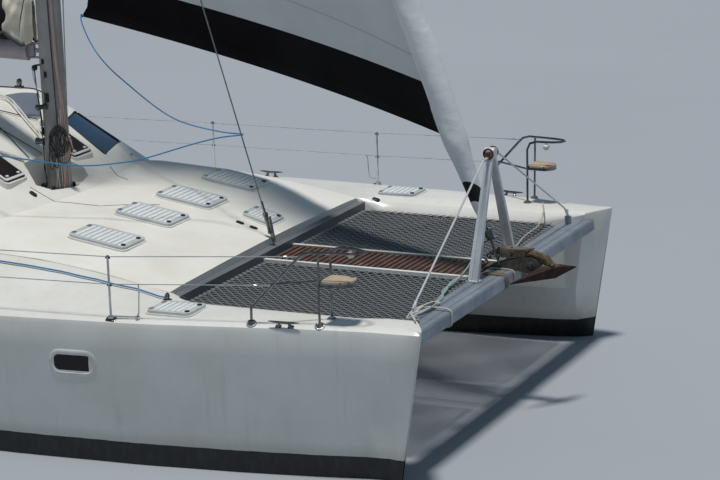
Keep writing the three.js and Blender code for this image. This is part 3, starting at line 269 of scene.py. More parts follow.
def rope_paint(name, colour, second, pitch=110.0):
    p = Paint(name)
    twist = p.waves(pitch, "DIAGONAL")
    paint = p.shades(twist, 0.3, 0.7, colour, second)
    return p.done(paint, 0.8, normal=p.bump(twist, 0.5, 0.002), sheen=0.3)


def walkway_paint():
    """White rails outside brown slats, which run athwart between them."""
    p = Paint("walkway_paint")
    grain = p.noise(26.0, 6.0, (3, 0.25, 3))
    slat = p.shades(grain, 0.35, 0.68, (106, 76, 62), (66, 44, 36))
    slat = p.mix(p.step(p.noise(3.0, 4.0), 0.55, 0.8), slat, tone(138, 116, 102))
    rail = p.shades(p.noise(4.0, 5.0), 0.4, 0.8, (224, 225, 221), (196, 194, 184))
    side = p.step(p.math("ABSOLUTE", p.parts[1]), SLATS_END - 0.0005, SLATS_END + 0.0005)
    return p.done(p.mix(side, slat, rail), 0.55, normal=p.bump(grain, 0.4, 0.002))


def angles(count):
    return [2 * pi * k / count for k in range(count)]


class Shape:
    """Points and faces, collected and made into one mesh for each piece."""

    def __init__(self):
        self.points, self.faces = [], []
        self.place = Matrix.Identity(4)

    def at(self, place=(0, 0, 0)):
        self.place = place if isinstance(place, Matrix) else Matrix.Translation(place)
        return self

    def add(self, points, faces):
        base = len(self.points)
        self.points += [self.place @ Vector(p) for p in points]
        self.faces += [[base + i for i in f] for f in faces]
        return self

    def rings(self, rings, closed=False, caps=True):
        """A skin over rings of equal count."""
        n, count = len(rings[0]), len(rings)
        faces = []
        for i in range(count if closed else count - 1):
            a, b = i * n, (i + 1) % count * n
            faces += [[a + j, a + (j + 1) % n, b + (j + 1) % n, b + j] for j in range(n)]
        if caps and not closed:
            faces += [list(range(n))[::-1], [(count - 1) * n + j for j in range(n)]]
        return self.add([p for ring in rings for p in ring], faces)

    def tube(self, path, radius, sides=8, closed=False, flat=1.0):
        """A round bar along a path. The radius is one number or one for each point."""
        path = [Vector(p) for p in path]
        count = len(path)
        radii = radius if hasattr(radius, "__len__") else [radius] * count
        last = count if closed else count - 1
        steps = [(path[(i + 1) % count] - path[i]).normalized() for i in range(last)]
        across = Vector((0, 0, 1)) if abs(steps[0].z) < 0.9 else Vector((1, 0, 0))
        rings = []
        for i, p in enumerate(path):
            before = steps[i - 1] if (i or closed) else steps[0]
            along = (before + steps[min(i, len(steps) - 1)]).normalized()
            across = (across - along * across.dot(along)).normalized()
            third = along.cross(across)
            rings.append([p + radii[i] * (flat * across * cos(a) + third * sin(a))
                          for a in angles(sides)])
        return self.rings(rings, closed)

    def bar(self, a, b, radius, sides=8):
        return self.tube([a, b], radius, sides)

    def line(self, points, radius, steps=5, sides=8):
        """A rope or rod on a smooth curve through the points."""
        return self.tube(smooth_path(points, steps), radius, sides)

    def slab(self, outline, low, high, edge):
        """A plate of the outline in plan, with its upper edge eased."""
        middle = sum((Vector((*p, 0)) for p in outline), Vector()) / len(outline)

        def ring(z, inset):
            spokes = [Vector((*p, 0)) - middle for p in outline]
            return [middle + s * (1 - inset / max(s.length, 0.01)) + Vector((0, 0, z)) for s in spokes]
        levels = [(low, 0), (high - edge, 0), (high - edge * 0.3, edge * 0.3), (high, edge)]
        return self.rings([ring(*level) for level in levels])

    def pad(self, long, wide, radius, high, edge=0.002, middle=(0, 0), low=0, steps=3):
        """A plate with round corners. Long and wide are half sizes."""
        x, y = middle
        return self.slab(rounded(x - long, x + long, y - wide, y + wide, radius, steps), low, high, edge)

    def lathe(self, profile, sides=16):
        """Turned about the Z axis of the place. The profile is radius and height."""
        return self.rings([[(r * cos(a), r * sin(a), z) for a in angles(sides)] for r, z in profile])

    def grid(self, f, columns, rows):
        points = [f(i / columns, j / rows) for j in range(rows + 1) for i in range(columns + 1)]
        n = columns + 1
        return self.add(points, [[j * n + i, j * n + i + 1, (j + 1) * n + i + 1, (j + 1) * n + i]
                                 for j in range(rows) for i in range(columns)])

    def piece(self, name, slot, *paints, body="boat", sharp=35, marks=None):
        mesh = bpy.data.meshes.new(name)
        mesh.from_pydata([tuple(p) for p in self.points], [], self.faces)
        for paint in paints:
            mesh.materials.append(paint)
        if marks:
            mesh.polygons.foreach_set("material_index", marks)
        mesh.update()
        mesh.shade_smooth()
        mesh.set_sharp_from_angle(angle=radians(sharp))
        obj = shown(bpy.data.objects.new(name, mesh))
        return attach(obj, body) if body else obj


def thicken(obj, thickness, offset=0):
    tool = obj.modifiers.new("thick", "SOLIDIFY")
    tool.thickness, tool.offset = thickness, offset


def length_of(path):
    return sum((b - a).length for a, b in zip(path, path[1:]))


def pieces(*rows):
    """Rows: shape, name, slot, paint."""
    for shape, *rest in rows:
        shape.piece(*rest)


def rounded(x0, x1, y0, y1, radius, steps=5):
    """A rectangle in plan with round corners."""
    low, left, high, right = y0 + radius, x0 + radius, y1 - radius, x1 - radius
    out = []
    for quarter, (x, y) in enumerate(((right, high), (left, high), (left, low), (right, low))):
        turns = [pi / 2 * (quarter + i / steps) for i in range(steps + 1)]
        out += [(x + radius * cos(a), y + radius * sin(a)) for a in turns]
    return out


def softened(points, radius, steps=4):
    """A polygon in plan with round corners."""
    out = []
    for i, p in enumerate(points):
        p = Vector(p)
        beside = points[i - 1], points[(i + 1) % len(points)]
        a, b = (p + (Vector(q) - p).normalized() * radius for q in beside)
        for t in (k / steps for k in range(steps + 1)):
            out.append(a * (1 - t) ** 2 + 2 * p * t * (1 - t) + b * t ** 2)
    return out


def smooth_path(route, steps=4):
    """A centripetal curve through the points, as the frame's own route is made."""
    p = [Vector(q) for q in route]
    p = [2 * p[0] - p[1], *p, 2 * p[-1] - p[-2]]
    out = []
    for i in range(1, len(p) - 2):
        a, b, c, d = p[i - 1:i + 3]
        t0, t1, t2 = ((v - u).length ** 0.5 for u, v in ((a, b), (b, c), (c, d)))
        m1 = t1 * ((b - a) / t0 - (c - a) / (t0 + t1) + (c - b) / t1)
        m2 = t1 * ((c - b) / t1 - (d - b) / (t1 + t2) + (d - c) / t2)
        for s in (k / steps for k in range(steps)):
            out.append(b + m1 * s + (3 * (c - b) - 2 * m1 - m2) * s ** 2 + (2 * (b - c) + m1 + m2) * s ** 3)
    return [*out, p[-2]]


def between(a, b, count):
    """Points from a to b in equal steps."""
    return [tuple(u + (v - u) * k / count for u, v in zip(a, b)) for k in range(count + 1)]


# Where the frame's surfaces are
ABOVE_DECK = 2.95
DOWN = Vector((0, 0, -1))


def tree_of(*names):
    points, faces = [], []
    for name in names:
        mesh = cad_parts[name].data
        base = len(points)
        points += [v.co.copy() for v in mesh.vertices]
        faces += [[base + i for i in face.vertices] for face in mesh.polygons]
    return BVHTree.FromPolygons(points, faces)


DECK = tree_of("hull_port", "hull_starboard", "bridgedeck", "coachroof")


def deck(x, y, lift=0.0):
    """The point on the deck at x, y, raised by lift."""
    return DECK.ray_cast(Vector((x, y, ABOVE_DECK)), DOWN)[0] + Vector((0, 0, lift))


def stand(x, y, heading=0.0, high=0.0, tree=DECK, start=ABOVE_DECK):
    """A place on the deck, raised by high. Z is the deck's normal and X points along the heading."""
    hit, normal, _, _ = tree.ray_cast(Vector((x, y, start)), DOWN)
    normal = normal if normal.z > 0 else -normal
    ahead = Vector((cos(radians(heading)), sin(radians(heading)), 0))
    ahead = (ahead - normal * ahead.dot(normal)).normalized()
    return axes(ahead, normal.cross(ahead), normal, hit) @ Matrix.Translation((0, 0, high))


def facing(place, ahead):
    """A place whose Z points along ahead, with X level where it can be."""
    z = Vector(ahead).normalized()
    x = Vector((1, 0, 0) if abs(z.z) >= 0.98 else (0, 0, 1)).cross(z).normalized()
    return axes(x, z.cross(x), z, place)


def on_edge(place):
    return place @ Matrix.Rotation(pi / 2, 4, "X")


def laid(points, lift, steps=8):
    """A line on the deck through the points x, y."""
    fine = [p for a, b in zip(points, points[1:]) for p in between(a, b, steps)[:-1]] + [points[-1]]
    return [deck(x, y, lift) for x, y in fine]


def lid_place(name):
    """A place on a lid's upper face at its middle, with X along its slope, and half its length and width."""
    low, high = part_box(name)
    middle = (low + high) / 2
    place = stand(middle.x, middle.y, tree=tree_of(name), start=high.z + 1)
    return place, (high.x - low.x) / 2 / place[0][0], (high.y - low.y) / 2


# Finishes
GELCOAT = deck_paint()
HULL = hull_paint()
# Stainless steel in two painted copies of one metal: the first is darkened to paint shade on tubes, posts and
# fittings, the second is lightened to paint the sunlit look of flanges, hinges and wires.
STEEL = plain("steel_painted_shade", (132, 134, 135), (98, 99, 100), 0.2, 1.0, 9.0, 0.02)
LIT_STEEL = plain("steel_painted_lit", (214, 216, 217), (176, 178, 179), 0.2, 0.8, 9.0, 0.02)
WIRE = brushed("wire_rope", (150, 152, 152), (112, 112, 110), 0.35, (1, 1, 6))
ALLOY = brushed("dulled_alloy", (158, 166, 176), (132, 141, 152), 0.42, (14, 0.4, 14), 3.0, 0.45)
STRUT_ALLOY = brushed("strut_alloy", (226, 228, 230), (198, 201, 204), 0.35, (12, 12, 0.6), 3.0, 0.35)
MAST_ALLOY = brushed("mast_alloy", (158, 156, 155), (136, 134, 134), 0.5, (14, 14, 0.4), 3.0, 0.25)
BOOM_ALLOY = brushed("boom_alloy", (172, 162, 168), (146, 138, 144), 0.5, (0.4, 14, 14), 3.0, 0.25)
AFT_GREY = plain("beam_grey", (112, 114, 119), (98, 101, 107), 0.5, 0.0, 2.0, 0.05)
BLACK_RUBBER = plain("black_rubber", (22, 22, 24), (38, 38, 40), 0.6, 0.0, 20.0, 0.2)
DARK_FITTING = plain("dark_fitting", (30, 30, 32), (52, 52, 55), 0.35, 0.2, 30.0, 0.05)
WHITE_PLASTIC = plain("white_plastic", (226, 226, 222), (206, 204, 196), 0.4, 0.0, 8.0, 0.05)
GREY_TREAD = plain("grey_tread", (226, 229, 229), (208, 212, 213), 0.75, 0.0, 30.0, 0.6)
LID_GREY = plain("lid_grey", (198, 204, 206), (180, 188, 191), 0.32, 0.0, 4.0, 0.08, 0.2)
GLASS = tinted("tinted_pane", (26, 54, 82))
SMOKED = tinted("smoked_pane", (30, 14, 18), 0.2)
BLACK_PANE = tinted("black_pane", (14, 15, 18))
RUST = rusty()
RED_RUST = plain("red_rust", (112, 66, 44), (74, 48, 38), 0.85, 0.1, 26.0, 0.5)
WEATHERED = plain("weathered_steel", (104, 98, 86), (76, 72, 66), 0.6, 0.4, 22.0, 0.3)
BRONZE = plain("bronze", (122, 96, 58), (74, 84, 66), 0.45, 0.8, 12.0, 0.3)
BOTTOM = plain("bottom_paint", (18, 19, 21), (42, 44, 40), 0.65, 0.0, 9.0, 0.5)
SAILCLOTH = cloth_paint("sailcloth", (212, 217, 219), (200, 206, 209), 700.0, 0.1, 0.12, panel=1.05)
SUN_STRIP = cloth_paint("sun_strip", (18, 17, 20), (27, 26, 30), 700.0, 0.0, 0.2, 0.05)
ROLLED_CLOTH = cloth_paint("rolled_cloth", (232, 234, 235), (212, 216, 219), 700.0, 0.1, 0.5, 0.3, (2.2, 2.4))
CREAM_CLOTH = cloth_paint("cream_sail", (222, 214, 196), (198, 188, 168), 700.0, 0.2, 0.6)
CANVAS = cloth_paint("black_canvas", (20, 20, 23), (32, 32, 36), 1100.0, 0.05, 0.8, 0.1)
NET_DARK = rope_paint("net_dark", (25, 27, 30), (14, 15, 17), 160.0)
NET_LIGHT = rope_paint("net_light", (152, 157, 161), (112, 118, 124), 160.0)
WHITE_ROPE = rope_paint("white_rope", (220, 220, 214), (176, 176, 168), 140.0)
NET_LACE = rope_paint("net_lace", (196, 198, 196), (150, 152, 150), 140.0)
BLUE_ROPE = rope_paint("blue_rope", (52, 150, 200), (28, 106, 160))
DARK_ROPE = rope_paint("dark_rope", (24, 26, 30), (46, 48, 52))
RED_ROPE = rope_paint("red_fleck_rope", (214, 200, 190), (140, 78, 72))
TEAL_ROPE = rope_paint("teal_rope", (60, 140, 132), (196, 206, 200))
CREAM_ROPE = rope_paint("cream_rope", (206, 200, 180), (150, 140, 118))
TAN_ROPE = rope_paint("tan_rope", (136, 124, 106), (88, 78, 66), 90.0)
RED_LINE = rope_paint("red_line", (112, 30, 34), (70, 22, 26))
GREEN_LINE = rope_paint("green_line", (30, 84, 58), (18, 50, 38))
SHADE_GREY = cloth_paint("shade_mesh", (118, 128, 141), (104, 114, 128), 500.0, 0.1, 0.1)
SEAT_WOOD = brushed("seat_wood", (190, 172, 150), (160, 140, 118), 0.5, (1, 20, 1), 5.0, 0.0)
TEAK = plain("teak", (150, 116, 80), (110, 82, 56), 0.7, 0.0, 18.0, 0.3)
WALKWAY = walkway_paint()

# The longest start that fits a node's name gives its finish
NODE_FINISH = {
    "hull": HULL, "rudder": BOTTOM, "saildrive": BOTTOM, "propeller": BRONZE, "pulpit": STEEL,
    "lifelines": LIT_STEEL, "shroud": WIRE, "inner_stay": WIRE, "winch": STEEL, "steering_wheel": STEEL,
    "side_window": GLASS, "front_window": GLASS, "saloon_door": GLASS, "hatch_coachroof": SMOKED,
    "hatch": LID_GREY, "bridgedeck": GELCOAT, "coachroof": GELCOAT, "cockpit": GELCOAT,
    "steering_stand": GELCOAT, "hard_top": GELCOAT,
    "crossbeam": ALLOY, "aft_beam": AFT_GREY, "a_frame": STRUT_ALLOY, "walkway": WALKWAY, "mast": MAST_ALLOY,
    "boom": BOOM_ALLOY, "anchor_roller": WEATHERED, "anchor": RUST, "net": NET_DARK, "genoa": SAILCLOTH,
    "sail_bag": CANVAS, "slack_sheet": BLUE_ROPE,
}


def rounding_tool():
    """Smooth shading with sharp edges over 32 degrees. The frame's own meshes stay as they are."""
    group = bpy.data.node_groups.new("rounded_shading", "GeometryNodeTree")
    for way in ("INPUT", "OUTPUT"):
        group.interface.new_socket("Geometry", in_out=way, socket_type="NodeSocketGeometry")
    make, link = group.nodes.new, group.links.new
    start, end = make("NodeGroupInput"), make("NodeGroupOutput")
    merge, angle = make("GeometryNodeMergeByDistance"), make("GeometryNodeInputMeshEdgeAngle")
    faces, edges = make("GeometryNodeSetShadeSmooth"), make("GeometryNodeSetShadeSmooth")
    sharp = make("FunctionNodeCompare")
    merge.inputs["Distance"].default_value = 0.00002
    sharp.inputs[1].default_value = radians(32)
    edges.domain = "EDGE"
    edges.inputs["Shade Smooth"].default_value = False
    for a, b in ((start, merge), (merge, faces), (faces, edges), (edges, end), (angle, sharp)):
        link(a.outputs[0], b.inputs[0])
    link(sharp.outputs[0], edges.inputs[1])
    return group


def finish_nodes():
    tool = rounding_tool()
    for name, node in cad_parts.items():
        key = max((k for k in NODE_FINISH if name.startswith(k)), key=len)
        node.data.materials.clear()
        node.data.materials.append(NODE_FINISH[key])
        node.data.polygons.foreach_set("material_index", [0] * len(node.data.polygons))
        node.modifiers.new("rounded", "NODES").node_group = tool


# The slack blue sheet, on the same route as its solid
SHEET_ROUTE = [
    (-0.100, 2.200, 3.713), (-0.099, 2.150, 3.709), (-0.080, 2.108, 3.676), (-0.025, 2.065, 3.590),
    (0.090, 2.005, 3.430), (0.250, 1.922, 3.282), (0.462, 1.800, 3.160), (0.850, 1.500, 3.055),
    (1.750, 0.840, 2.845), (2.153, 0.600, 2.784), (2.924, 0.150, 2.797), (3.150, 0.058, 2.810),
    (3.229, 0.040, 2.814), (3.257, 0.028, 2.815), (3.269, 0, 2.815), (3.257, -0.028, 2.814),
    (3.229, -0.040, 2.812), (3.044, -0.120, 2.793), (2.791, -0.250, 2.735), (2.440, -0.660, 2.643),
    (2.351, -0.775, 2.626), (2.154, -0.880, 2.600), (1.770, -1.060, 2.584), (0.941, -1.390, 2.711),
    (0.100, -1.570, 2.786), (-0.450, -1.683, 2.850), (-0.790, -1.748, 2.876),
]
SHEET_RADIUS = 0.008


def slack_sheet():
    low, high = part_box("slack_sheet")
    path = [p for p in smooth_path(SHEET_ROUTE, 8)
            if p.y < high.y - 0.003 and p.x > low.x + 0.004 or 0 < p.x < 3]
    rope = Shape().tube(path, SHEET_RADIUS, 10).piece("blue_slack_sheet", "rope", BLUE_ROPE)
    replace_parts(rope, "slack_sheet")
    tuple(path[0])
    length_of(path)
    knot = Shape()
    for i in range(3):
        knot.at(Matrix.Translation(path[2]) @ Matrix.Rotation(0.9 * i, 4, "X"))
        knot.tube([(0.017 * cos(a), 0.006 * i - 0.006, 0.017 * sin(a))
                   for a in np.linspace(0, 6.0, 13)], 0.007, 6)
    knot.piece("sheet_knot", "rope", BLUE_ROPE)


# The genoa: a set sail of thin cloth that leaves a roll on the forestay
STAY_FOOT = Vector((6.35, 0, 1.56))
STAY_HEAD = Vector((0.9156, 0, 16.75))
CLEW = Vector((-0.12, 2.2, 3.7))
LUFF_LOW, LUFF_HIGH, SAIL_TOP = 2.9, 15.8, 0.985
SAIL_COLUMNS, SAIL_ROWS = 56, 90
STRIP_HIGH = 0.62
CLOTH_THICK = 0.003
# The roll's radius at each height
ROLL = {2.06: 0.03, 2.2: 0.062, 2.4: 0.078, 2.65: 0.1, 2.9: 0.135, 4.0: 0.142, 9.0: 0.132, 14.5: 0.085,
        15.95: 0.04}


def stay_at(z):
    return STAY_FOOT.lerp(STAY_HEAD, (z - STAY_FOOT.z) / (STAY_HEAD.z - STAY_FOOT.z))


def sail_point(s, t):
    """S goes from the luff to the leech and t from the foot to the head."""
    luff = stay_at(LUFF_LOW + (LUFF_HIGH - LUFF_LOW) * t)
    leech = Vector((CLEW.x + (1.28 - CLEW.x) * t ** 0.55, 0.03 + (CLEW.y - 0.03) * (1 - t) ** 2.2,
                    CLEW.z + (LUFF_HIGH + 0.06 - CLEW.z) * t))
    curve = 4 * s * (1 - s)
    return luff.lerp(leech, s) + Vector((0, 0.56 * curve * (1 - t) ** 0.8, -0.085 * curve * (1 - t) ** 4))


def genoa():
    """The sail with its dark strip along the foot."""
    foot = sail_point(0.5, 0).z
    heights = [sail_point(0.5, (j + 0.5) / SAIL_ROWS * SAIL_TOP).z for j in range(SAIL_ROWS)]
    strip = [int(z - foot < STRIP_HIGH) for z in heights]
    sail = Shape().grid(lambda s, t: sail_point(s, t * SAIL_TOP), SAIL_COLUMNS, SAIL_ROWS)
    cloth = sail.piece("genoa_sail", "sailcloth", SAILCLOTH, SUN_STRIP, sharp=180,
                       marks=[mark for mark in strip for _ in range(SAIL_COLUMNS)])
    thicken(cloth, CLOTH_THICK)
    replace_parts(cloth, "genoa")


def luff_roll():
    """Cloth rolled round the stay, with a spiral edge where each turn ends."""
    levels, around = 150, 28
    heights = list(ROLL)
    rings = []
    for j in range(levels + 1):
        z = heights[0] + (heights[-1] - heights[0]) * (j / levels) ** 1.15
        radius = float(np.interp(z, heights, list(ROLL.values())))
        ring = []
        for a in angles(around):
            turn = (a / (2 * pi) + 0.75 * z) % 1.0
            r = radius * (0.93 + 0.09 * turn + 0.012 * sin(3 * a + 5 * z))
            ring.append(stay_at(z) + Vector((r * cos(a), r * sin(a), 0.05 * cos(a))))
        rings.append(ring)
    Shape().rings(rings).piece("genoa_roll", "sailcloth", ROLLED_CLOTH, sharp=50)


def furler():
    """The drum and its swivel under the roll, and the bare stay over it."""
    shape = Shape().bar(stay_at(STAY_FOOT.z), stay_at(2.1), 0.014).bar(stay_at(LUFF_HIGH), STAY_HEAD, 0.009)
    tilt = (STAY_HEAD - STAY_FOOT).normalized().to_track_quat("Z", "X").to_matrix().to_4x4()
    flange = [(0.094, 0), (0.098, 0.006), (0.094, 0.012)]
    drum = [(0, 0), *flange, (0.045, 0.014), (0.045, 0.105), *((r, z + 0.108) for r, z in flange), (0, 0.124)]
    shape.at(Matrix.Translation(stay_at(1.83)) @ tilt).lathe(drum, 28)
    shape.at(Matrix.Translation(stay_at(2.0)) @ tilt)
    shape.lathe([(0, 0), (0.028, 0), (0.028, 0.11), (0.02, 0.12), (0, 0.12)])
    shape.piece("furler_drum", "stainless", STEEL)


# The nets: dark knotted mesh with lighter cords over it, laced to the frame round them
NET_X, NET_Y, NET_Z = (3.735, 6.135), (0.45, 2.21), 1.464
NET_SAG = 0.03
MESH_PITCH, CORD_PITCH, LACE_PITCH = 0.036, 0.075, 0.045


def net_point(x, y, side, lift):
    u, v = (x - NET_X[0]) / (NET_X[1] - NET_X[0]), (y - NET_Y[0]) / (NET_Y[1] - NET_Y[0])
    return x, side * y, NET_Z - NET_SAG * 16 * u * (1 - u) * v * (1 - v) + lift


def slant_lines(pitch):
    """Both families of lines at 45 degrees across the net, cut to its rectangle."""
    (x0, x1), (y0, y1) = NET_X, NET_Y
    wide, out = y1 - y0, []
    for lean in (1, -1):
        start = x0 - wide
        while start < x1:
            a, b = max(0, x0 - start), min(wide, x1 - start)
            if b - a > 0.02:
                out.append(([(start + s, y0 + s if lean > 0 else y1 - s) for s in (a, b)], lean))
            start += pitch * sqrt(2)
    return out


def net(name, side):
    dark, light, lace = Shape(), Shape(), Shape()
    (x0, x1), (y0, y1) = NET_X, NET_Y
    for (a, b), lean in slant_lines(MESH_PITCH):
        line = [net_point(x, y, side, 0.002 * lean - 0.004) for x, y in between(a, b, 6)]
        dark.tube(line, 0.0075, 4, flat=0.6)
    for (a, b), lean in slant_lines(CORD_PITCH):
        count = max(2, int(dist(a, b) / 0.1))
        light.tube([net_point(x, y, side, 0.002 * lean + 0.006) for x, y in between(a, b, count)], 0.0048, 5)
    border = rounded(*NET_X, *NET_Y, 0.04, 3)
    dark.tube([(x, side * y, NET_Z) for x, y in border], 0.011, closed=True)
    for a, b, (dx, dy), reach in (((x0, y0), (x1, y0), (0, -1), 0.062), ((x1, y1), (x0, y1), (0, 1), 0.085),
                                  ((x1, y0), (x1, y1), (1, 0), 0.062), ((x0, y1), (x0, y0), (-1, 0), 0.062)):
        path = []
        for k, (x, y) in enumerate(between(a, b, int(dist(a, b) / LACE_PITCH))):
            out, lift = (reach, 0.004) if k % 2 else (-0.012, 0.014)
            path.append((x + dx * out, side * (y + dy * out), NET_Z + lift))
        lace.tube(path, 0.0056, 5)
    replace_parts(dark.piece(f"net_mesh_{name}", "net", NET_DARK), f"net_{name}")
    light.piece(f"net_cords_{name}", "net", NET_LIGHT)
    lace.piece(f"net_lacing_{name}", "net", NET_LACE)


def deck_lid(name, bars):
    """On a lid of the deck: light tread bars athwart, latches forward and hinges aft."""
    place, long, wide = lid_place(name)
    tread, latch, hinge = Shape().at(place), Shape(), Shape()
    pitch = 2 * (long - 0.05) / bars
    for k in range(bars):
        middle = -long + 0.05 + pitch * (k + 0.5)
        tread.pad(pitch * 0.31, wide - 0.05, 0.012, 0.003, 0.001, (middle, 0))
    for y in (-wide * 0.62, wide * 0.62):
        latch.at(place @ Matrix.Translation((long - 0.055, y, 0)))
        latch.lathe([(0, 0), (0.026, 0), (0.028, 0.004), (0.024, 0.011), (0, 0.012)], 18)
        hinge.at(place @ Matrix.Translation((-long + 0.03, y, 0))).pad(0.022, 0.035, 0.01, 0.008)
    tread.piece(f"{name}_tread", "hatch_lid", GREY_TREAD, body=name)
    latch.piece(f"{name}_latches", "hatch_lid", DARK_FITTING, body=name)
    hinge.piece(f"{name}_hinges", "stainless", LIT_STEEL, body=name)


def dark_lid(name):
    """A slim frame round a smoked pane of the coachroof, with two latches and two hinges."""
    place, long, wide = lid_place(name)
    outer = rounded(-long, long, -wide, wide, 0.05)
    inner = rounded(0.032 - long, long - 0.032, 0.032 - wide, wide - 0.032, 0.03)
    levels = ((outer, -0.01), (outer, 0.004), (inner, 0.004), (inner, -0.002))
    shape = Shape().at(place).rings([[(*p, z) for p in loop] for loop, z in levels], caps=False)
    for y in (-wide * 0.55, wide * 0.55):
        shape.pad(0.015, 0.025, 0.008, 0.012, 0.003, (long - 0.06, y), 0.002)
        shape.pad(0.017, 0.04, 0.008, 0.01, 0.003, (0.013 - long, y), 0.002)
    shape.piece(f"{name}_frame", "hatch_lid", WHITE_PLASTIC, body=name)


# Windows: black gaskets round the panes of the coachroof, and small oval lights in the hulls
FRONT_LIGHT = [(-0.18, 2.02), (0.07, 1.35), (0.7, 1.23), (0.42, 2.08)]
SIDE_LIGHT = (-2.7, -0.35, 2.05, 2.48)
ROOF = tree_of("coachroof", *(f"{at}_window_{name}" for at in ("front", "side") for name, _ in SIDES))
PORTLIGHTS = (2.97, 0.55, -1.95, -4.1)
PORTLIGHT_Z, PORTLIGHT_LONG, PORTLIGHT_HIGH = 1.065, 0.54, 0.28
# Columns: inset from the frame's edge, height over the hull, corner radius
RIM_STEPS = [(0, -0.02, 0.12), (0, 0.005, 0.12), (0.008, 0.01, 0.115), (0.03, 0.01, 0.1),
             (0.036, 0.004, 0.095), (0.052, 0.0035, 0.07), (0.058, 0.001, 0.05)]
PANE_STEPS = [(0.056, -0.01, 0.05), (0.056, 0.0025, 0.05)]


def on_roof(points, aim, lift):
    """The points thrown along aim, where they meet the coachroof."""
    aim = Vector(aim)
    hits = [ROOF.ray_cast(Vector(p) - aim * 6, aim)[0] for p in points]
    return [hit - aim * lift for hit in hits if hit is not None]


def gaskets():
    for name, side in SIDES:
        front = [(x, y, 3) for x, y in softened([(x, side * y) for x, y in FRONT_LIGHT], 0.07)]
        beside = [(x, side * -0.5, z) for x, z in rounded(*SIDE_LIGHT, 0.11, 6)]
        rim = Shape().tube(on_roof(front, DOWN, 0.001), 0.011, 6, closed=True)
        rim.tube(on_roof(beside, (0, -side, 0), 0.0), 0.011, 6, closed=True)
        rim.piece(f"window_gasket_{name}", "smoked_glass", BLACK_RUBBER)


def portlights():
    a, b = PORTLIGHT_LONG / 2, PORTLIGHT_HIGH / 2
    rim_rings, pane_rings = (
        [[(u, v, z) for u, v in rounded(inset - a, a - inset, inset - b, b - inset, r, 6)]
         for inset, z, r in steps] for steps in (RIM_STEPS, PANE_STEPS))
    for name, side in SIDES:
        tree = tree_of(f"hull_{name}")
        rim, pane = Shape(), Shape()
        for x in PORTLIGHTS:
            hit, normal, _, _ = tree.ray_cast(Vector((x, side * 6, PORTLIGHT_Z)), Vector((0, -side, 0)))
            out = Vector((0, side, 0)) if normal.y * side < 0 else normal
            along = (Vector((1, 0, 0)) - out * out.x).normalized()
            place = axes(along, out.cross(along), out, hit)
            rim.at(place).rings(rim_rings, caps=False)
            pane.at(place).rings(pane_rings)
        rim.piece(f"portlight_rims_{name}", "gelcoat", WHITE_PLASTIC)
        pane.piece(f"portlight_panes_{name}", "smoked_glass", BLACK_PANE)


# Cleats on the side decks. Columns: x, y, heading
CLEATS = ((5.27, 3.02, -6), (1.9, 3.27, -2), (-4.5, 3.28, 2))
CLEAT_LONG = 0.33


def cleats():
    metal = Shape()
    reach, leg = CLEAT_LONG / 2, CLEAT_LONG * 0.16
    horn = [(1, 0.068, 0.004), (0.8, 0.066, 0.009), (0.4, 0.06, 0.014)]
    horns = [(-u, z, r) for u, z, r in horn] + [(0, 0.058, 0.015)] + horn[::-1]
    for _, side in SIDES:
        for x, y, heading in CLEATS:
            metal.at(stand(x, side * y, side * heading))
            for u in (-leg, leg):
                metal.tube([(u * 1.25, 0, 0), (u, 0, 0.03), (u * 0.95, 0, 0.055)], [0.026, 0.014, 0.013], 10)
                metal.pad(0.032, 0.024, 0.012, 0.007, middle=(u * 1.25, 0))
            metal.tube([(reach * u, 0, z) for u, z, _ in horns], [r for _, _, r in horns], 10)
    metal.piece("cleats", "stainless", STEEL)


# Ropes and hardware share these helpers
ATHWART = (0, 1, 0)
SCREW = [(0, 0), (0.55, 0), (0.55, 0.22), (1.25, 0.23), (1.25, 0.29), (1, 0.31), (1, 0.64), (1.25, 0.66),
         (1.25, 0.72), (0.6, 0.74), (0.6, 1), (0, 1)]
SHEAVE = [(0, -0.22), (0.55, -0.22), (0.46, 0), (0.55, 0.22), (0, 0.22)]
PIN = [(0, -0.5), (0.14, -0.5), (0.14, 0.5), (0, 0.5)]


def wound(shape, centre, axis, wide, high, turns, radius):
    """Turns of rope round a bar of the given half sizes, one beside the next."""
    steps, path = 20, []
    for k in range(int(turns * steps) + 1):
        a = 2 * pi * k / steps
        u, v = (copysign(abs(w) ** 0.45, w) for w in (cos(a), sin(a)))
        path.append((wide * u, high * v, (k / steps - turns / 2) * radius * 2))
    shape.at(facing(centre, axis)).tube(path, radius, 6).at()


def block(shape, place, size):
    """A pulley block: two cheeks and a sheave between them, with its pin."""
    cheek = [(size * 0.62 * cos(a), size * sin(a)) for a in angles(16)]
    for low in (-size * 0.42, size * 0.24):
        shape.at(place).slab(cheek, low, low + size * 0.18, size * 0.06)
    for profile, sides in ((SHEAVE, 16), (PIN, 10)):
        shape.lathe([(size * r, size * z) for r, z in profile], sides)
    shape.at()


def turnbuckle(shape, foot, tip, start, end, radius):
    """A screw between two rods, on the line from foot to tip."""
    way = (tip - foot).normalized()
    shape.at(facing(foot + way * start, way))
    shape.lathe([(radius * r, (end - start) * z) for r, z in SCREW], 12).at()


def read(table, x):
    """The values of the table at x, between its rows in proportion."""
    first, *others = zip(*table)
    return [float(np.interp(x, first, column)) for column in others]


# The stowed mainsail: a long black bag on the boom, with the sail's folds in front of it
BOOM_PIN_X, BOOM_TOP, BOOM_SLOPE, BOOM_DEEP = 0.56, 3.788, 0.03, 0.262
SHEET_BLOCKS = (-3.75, -4.15)
JACKS = (-0.35, -1.6, -2.85, -4.0)
SEAMS = (-1.0, -2.3, -3.5)
BAG_HALF, BAG_HIGH = 0.222, 0.6
# Columns: x, share of the full section
BAG = [(-4.39, 0.3), (-4.36, 0.42), (-4.2, 0.55), (-3.4, 0.72), (-2.0, 0.9), (-0.6, 1.0), (0.0, 0.96),
       (0.3, 0.86), (0.345, 0.72), (0.36, 0.5)]
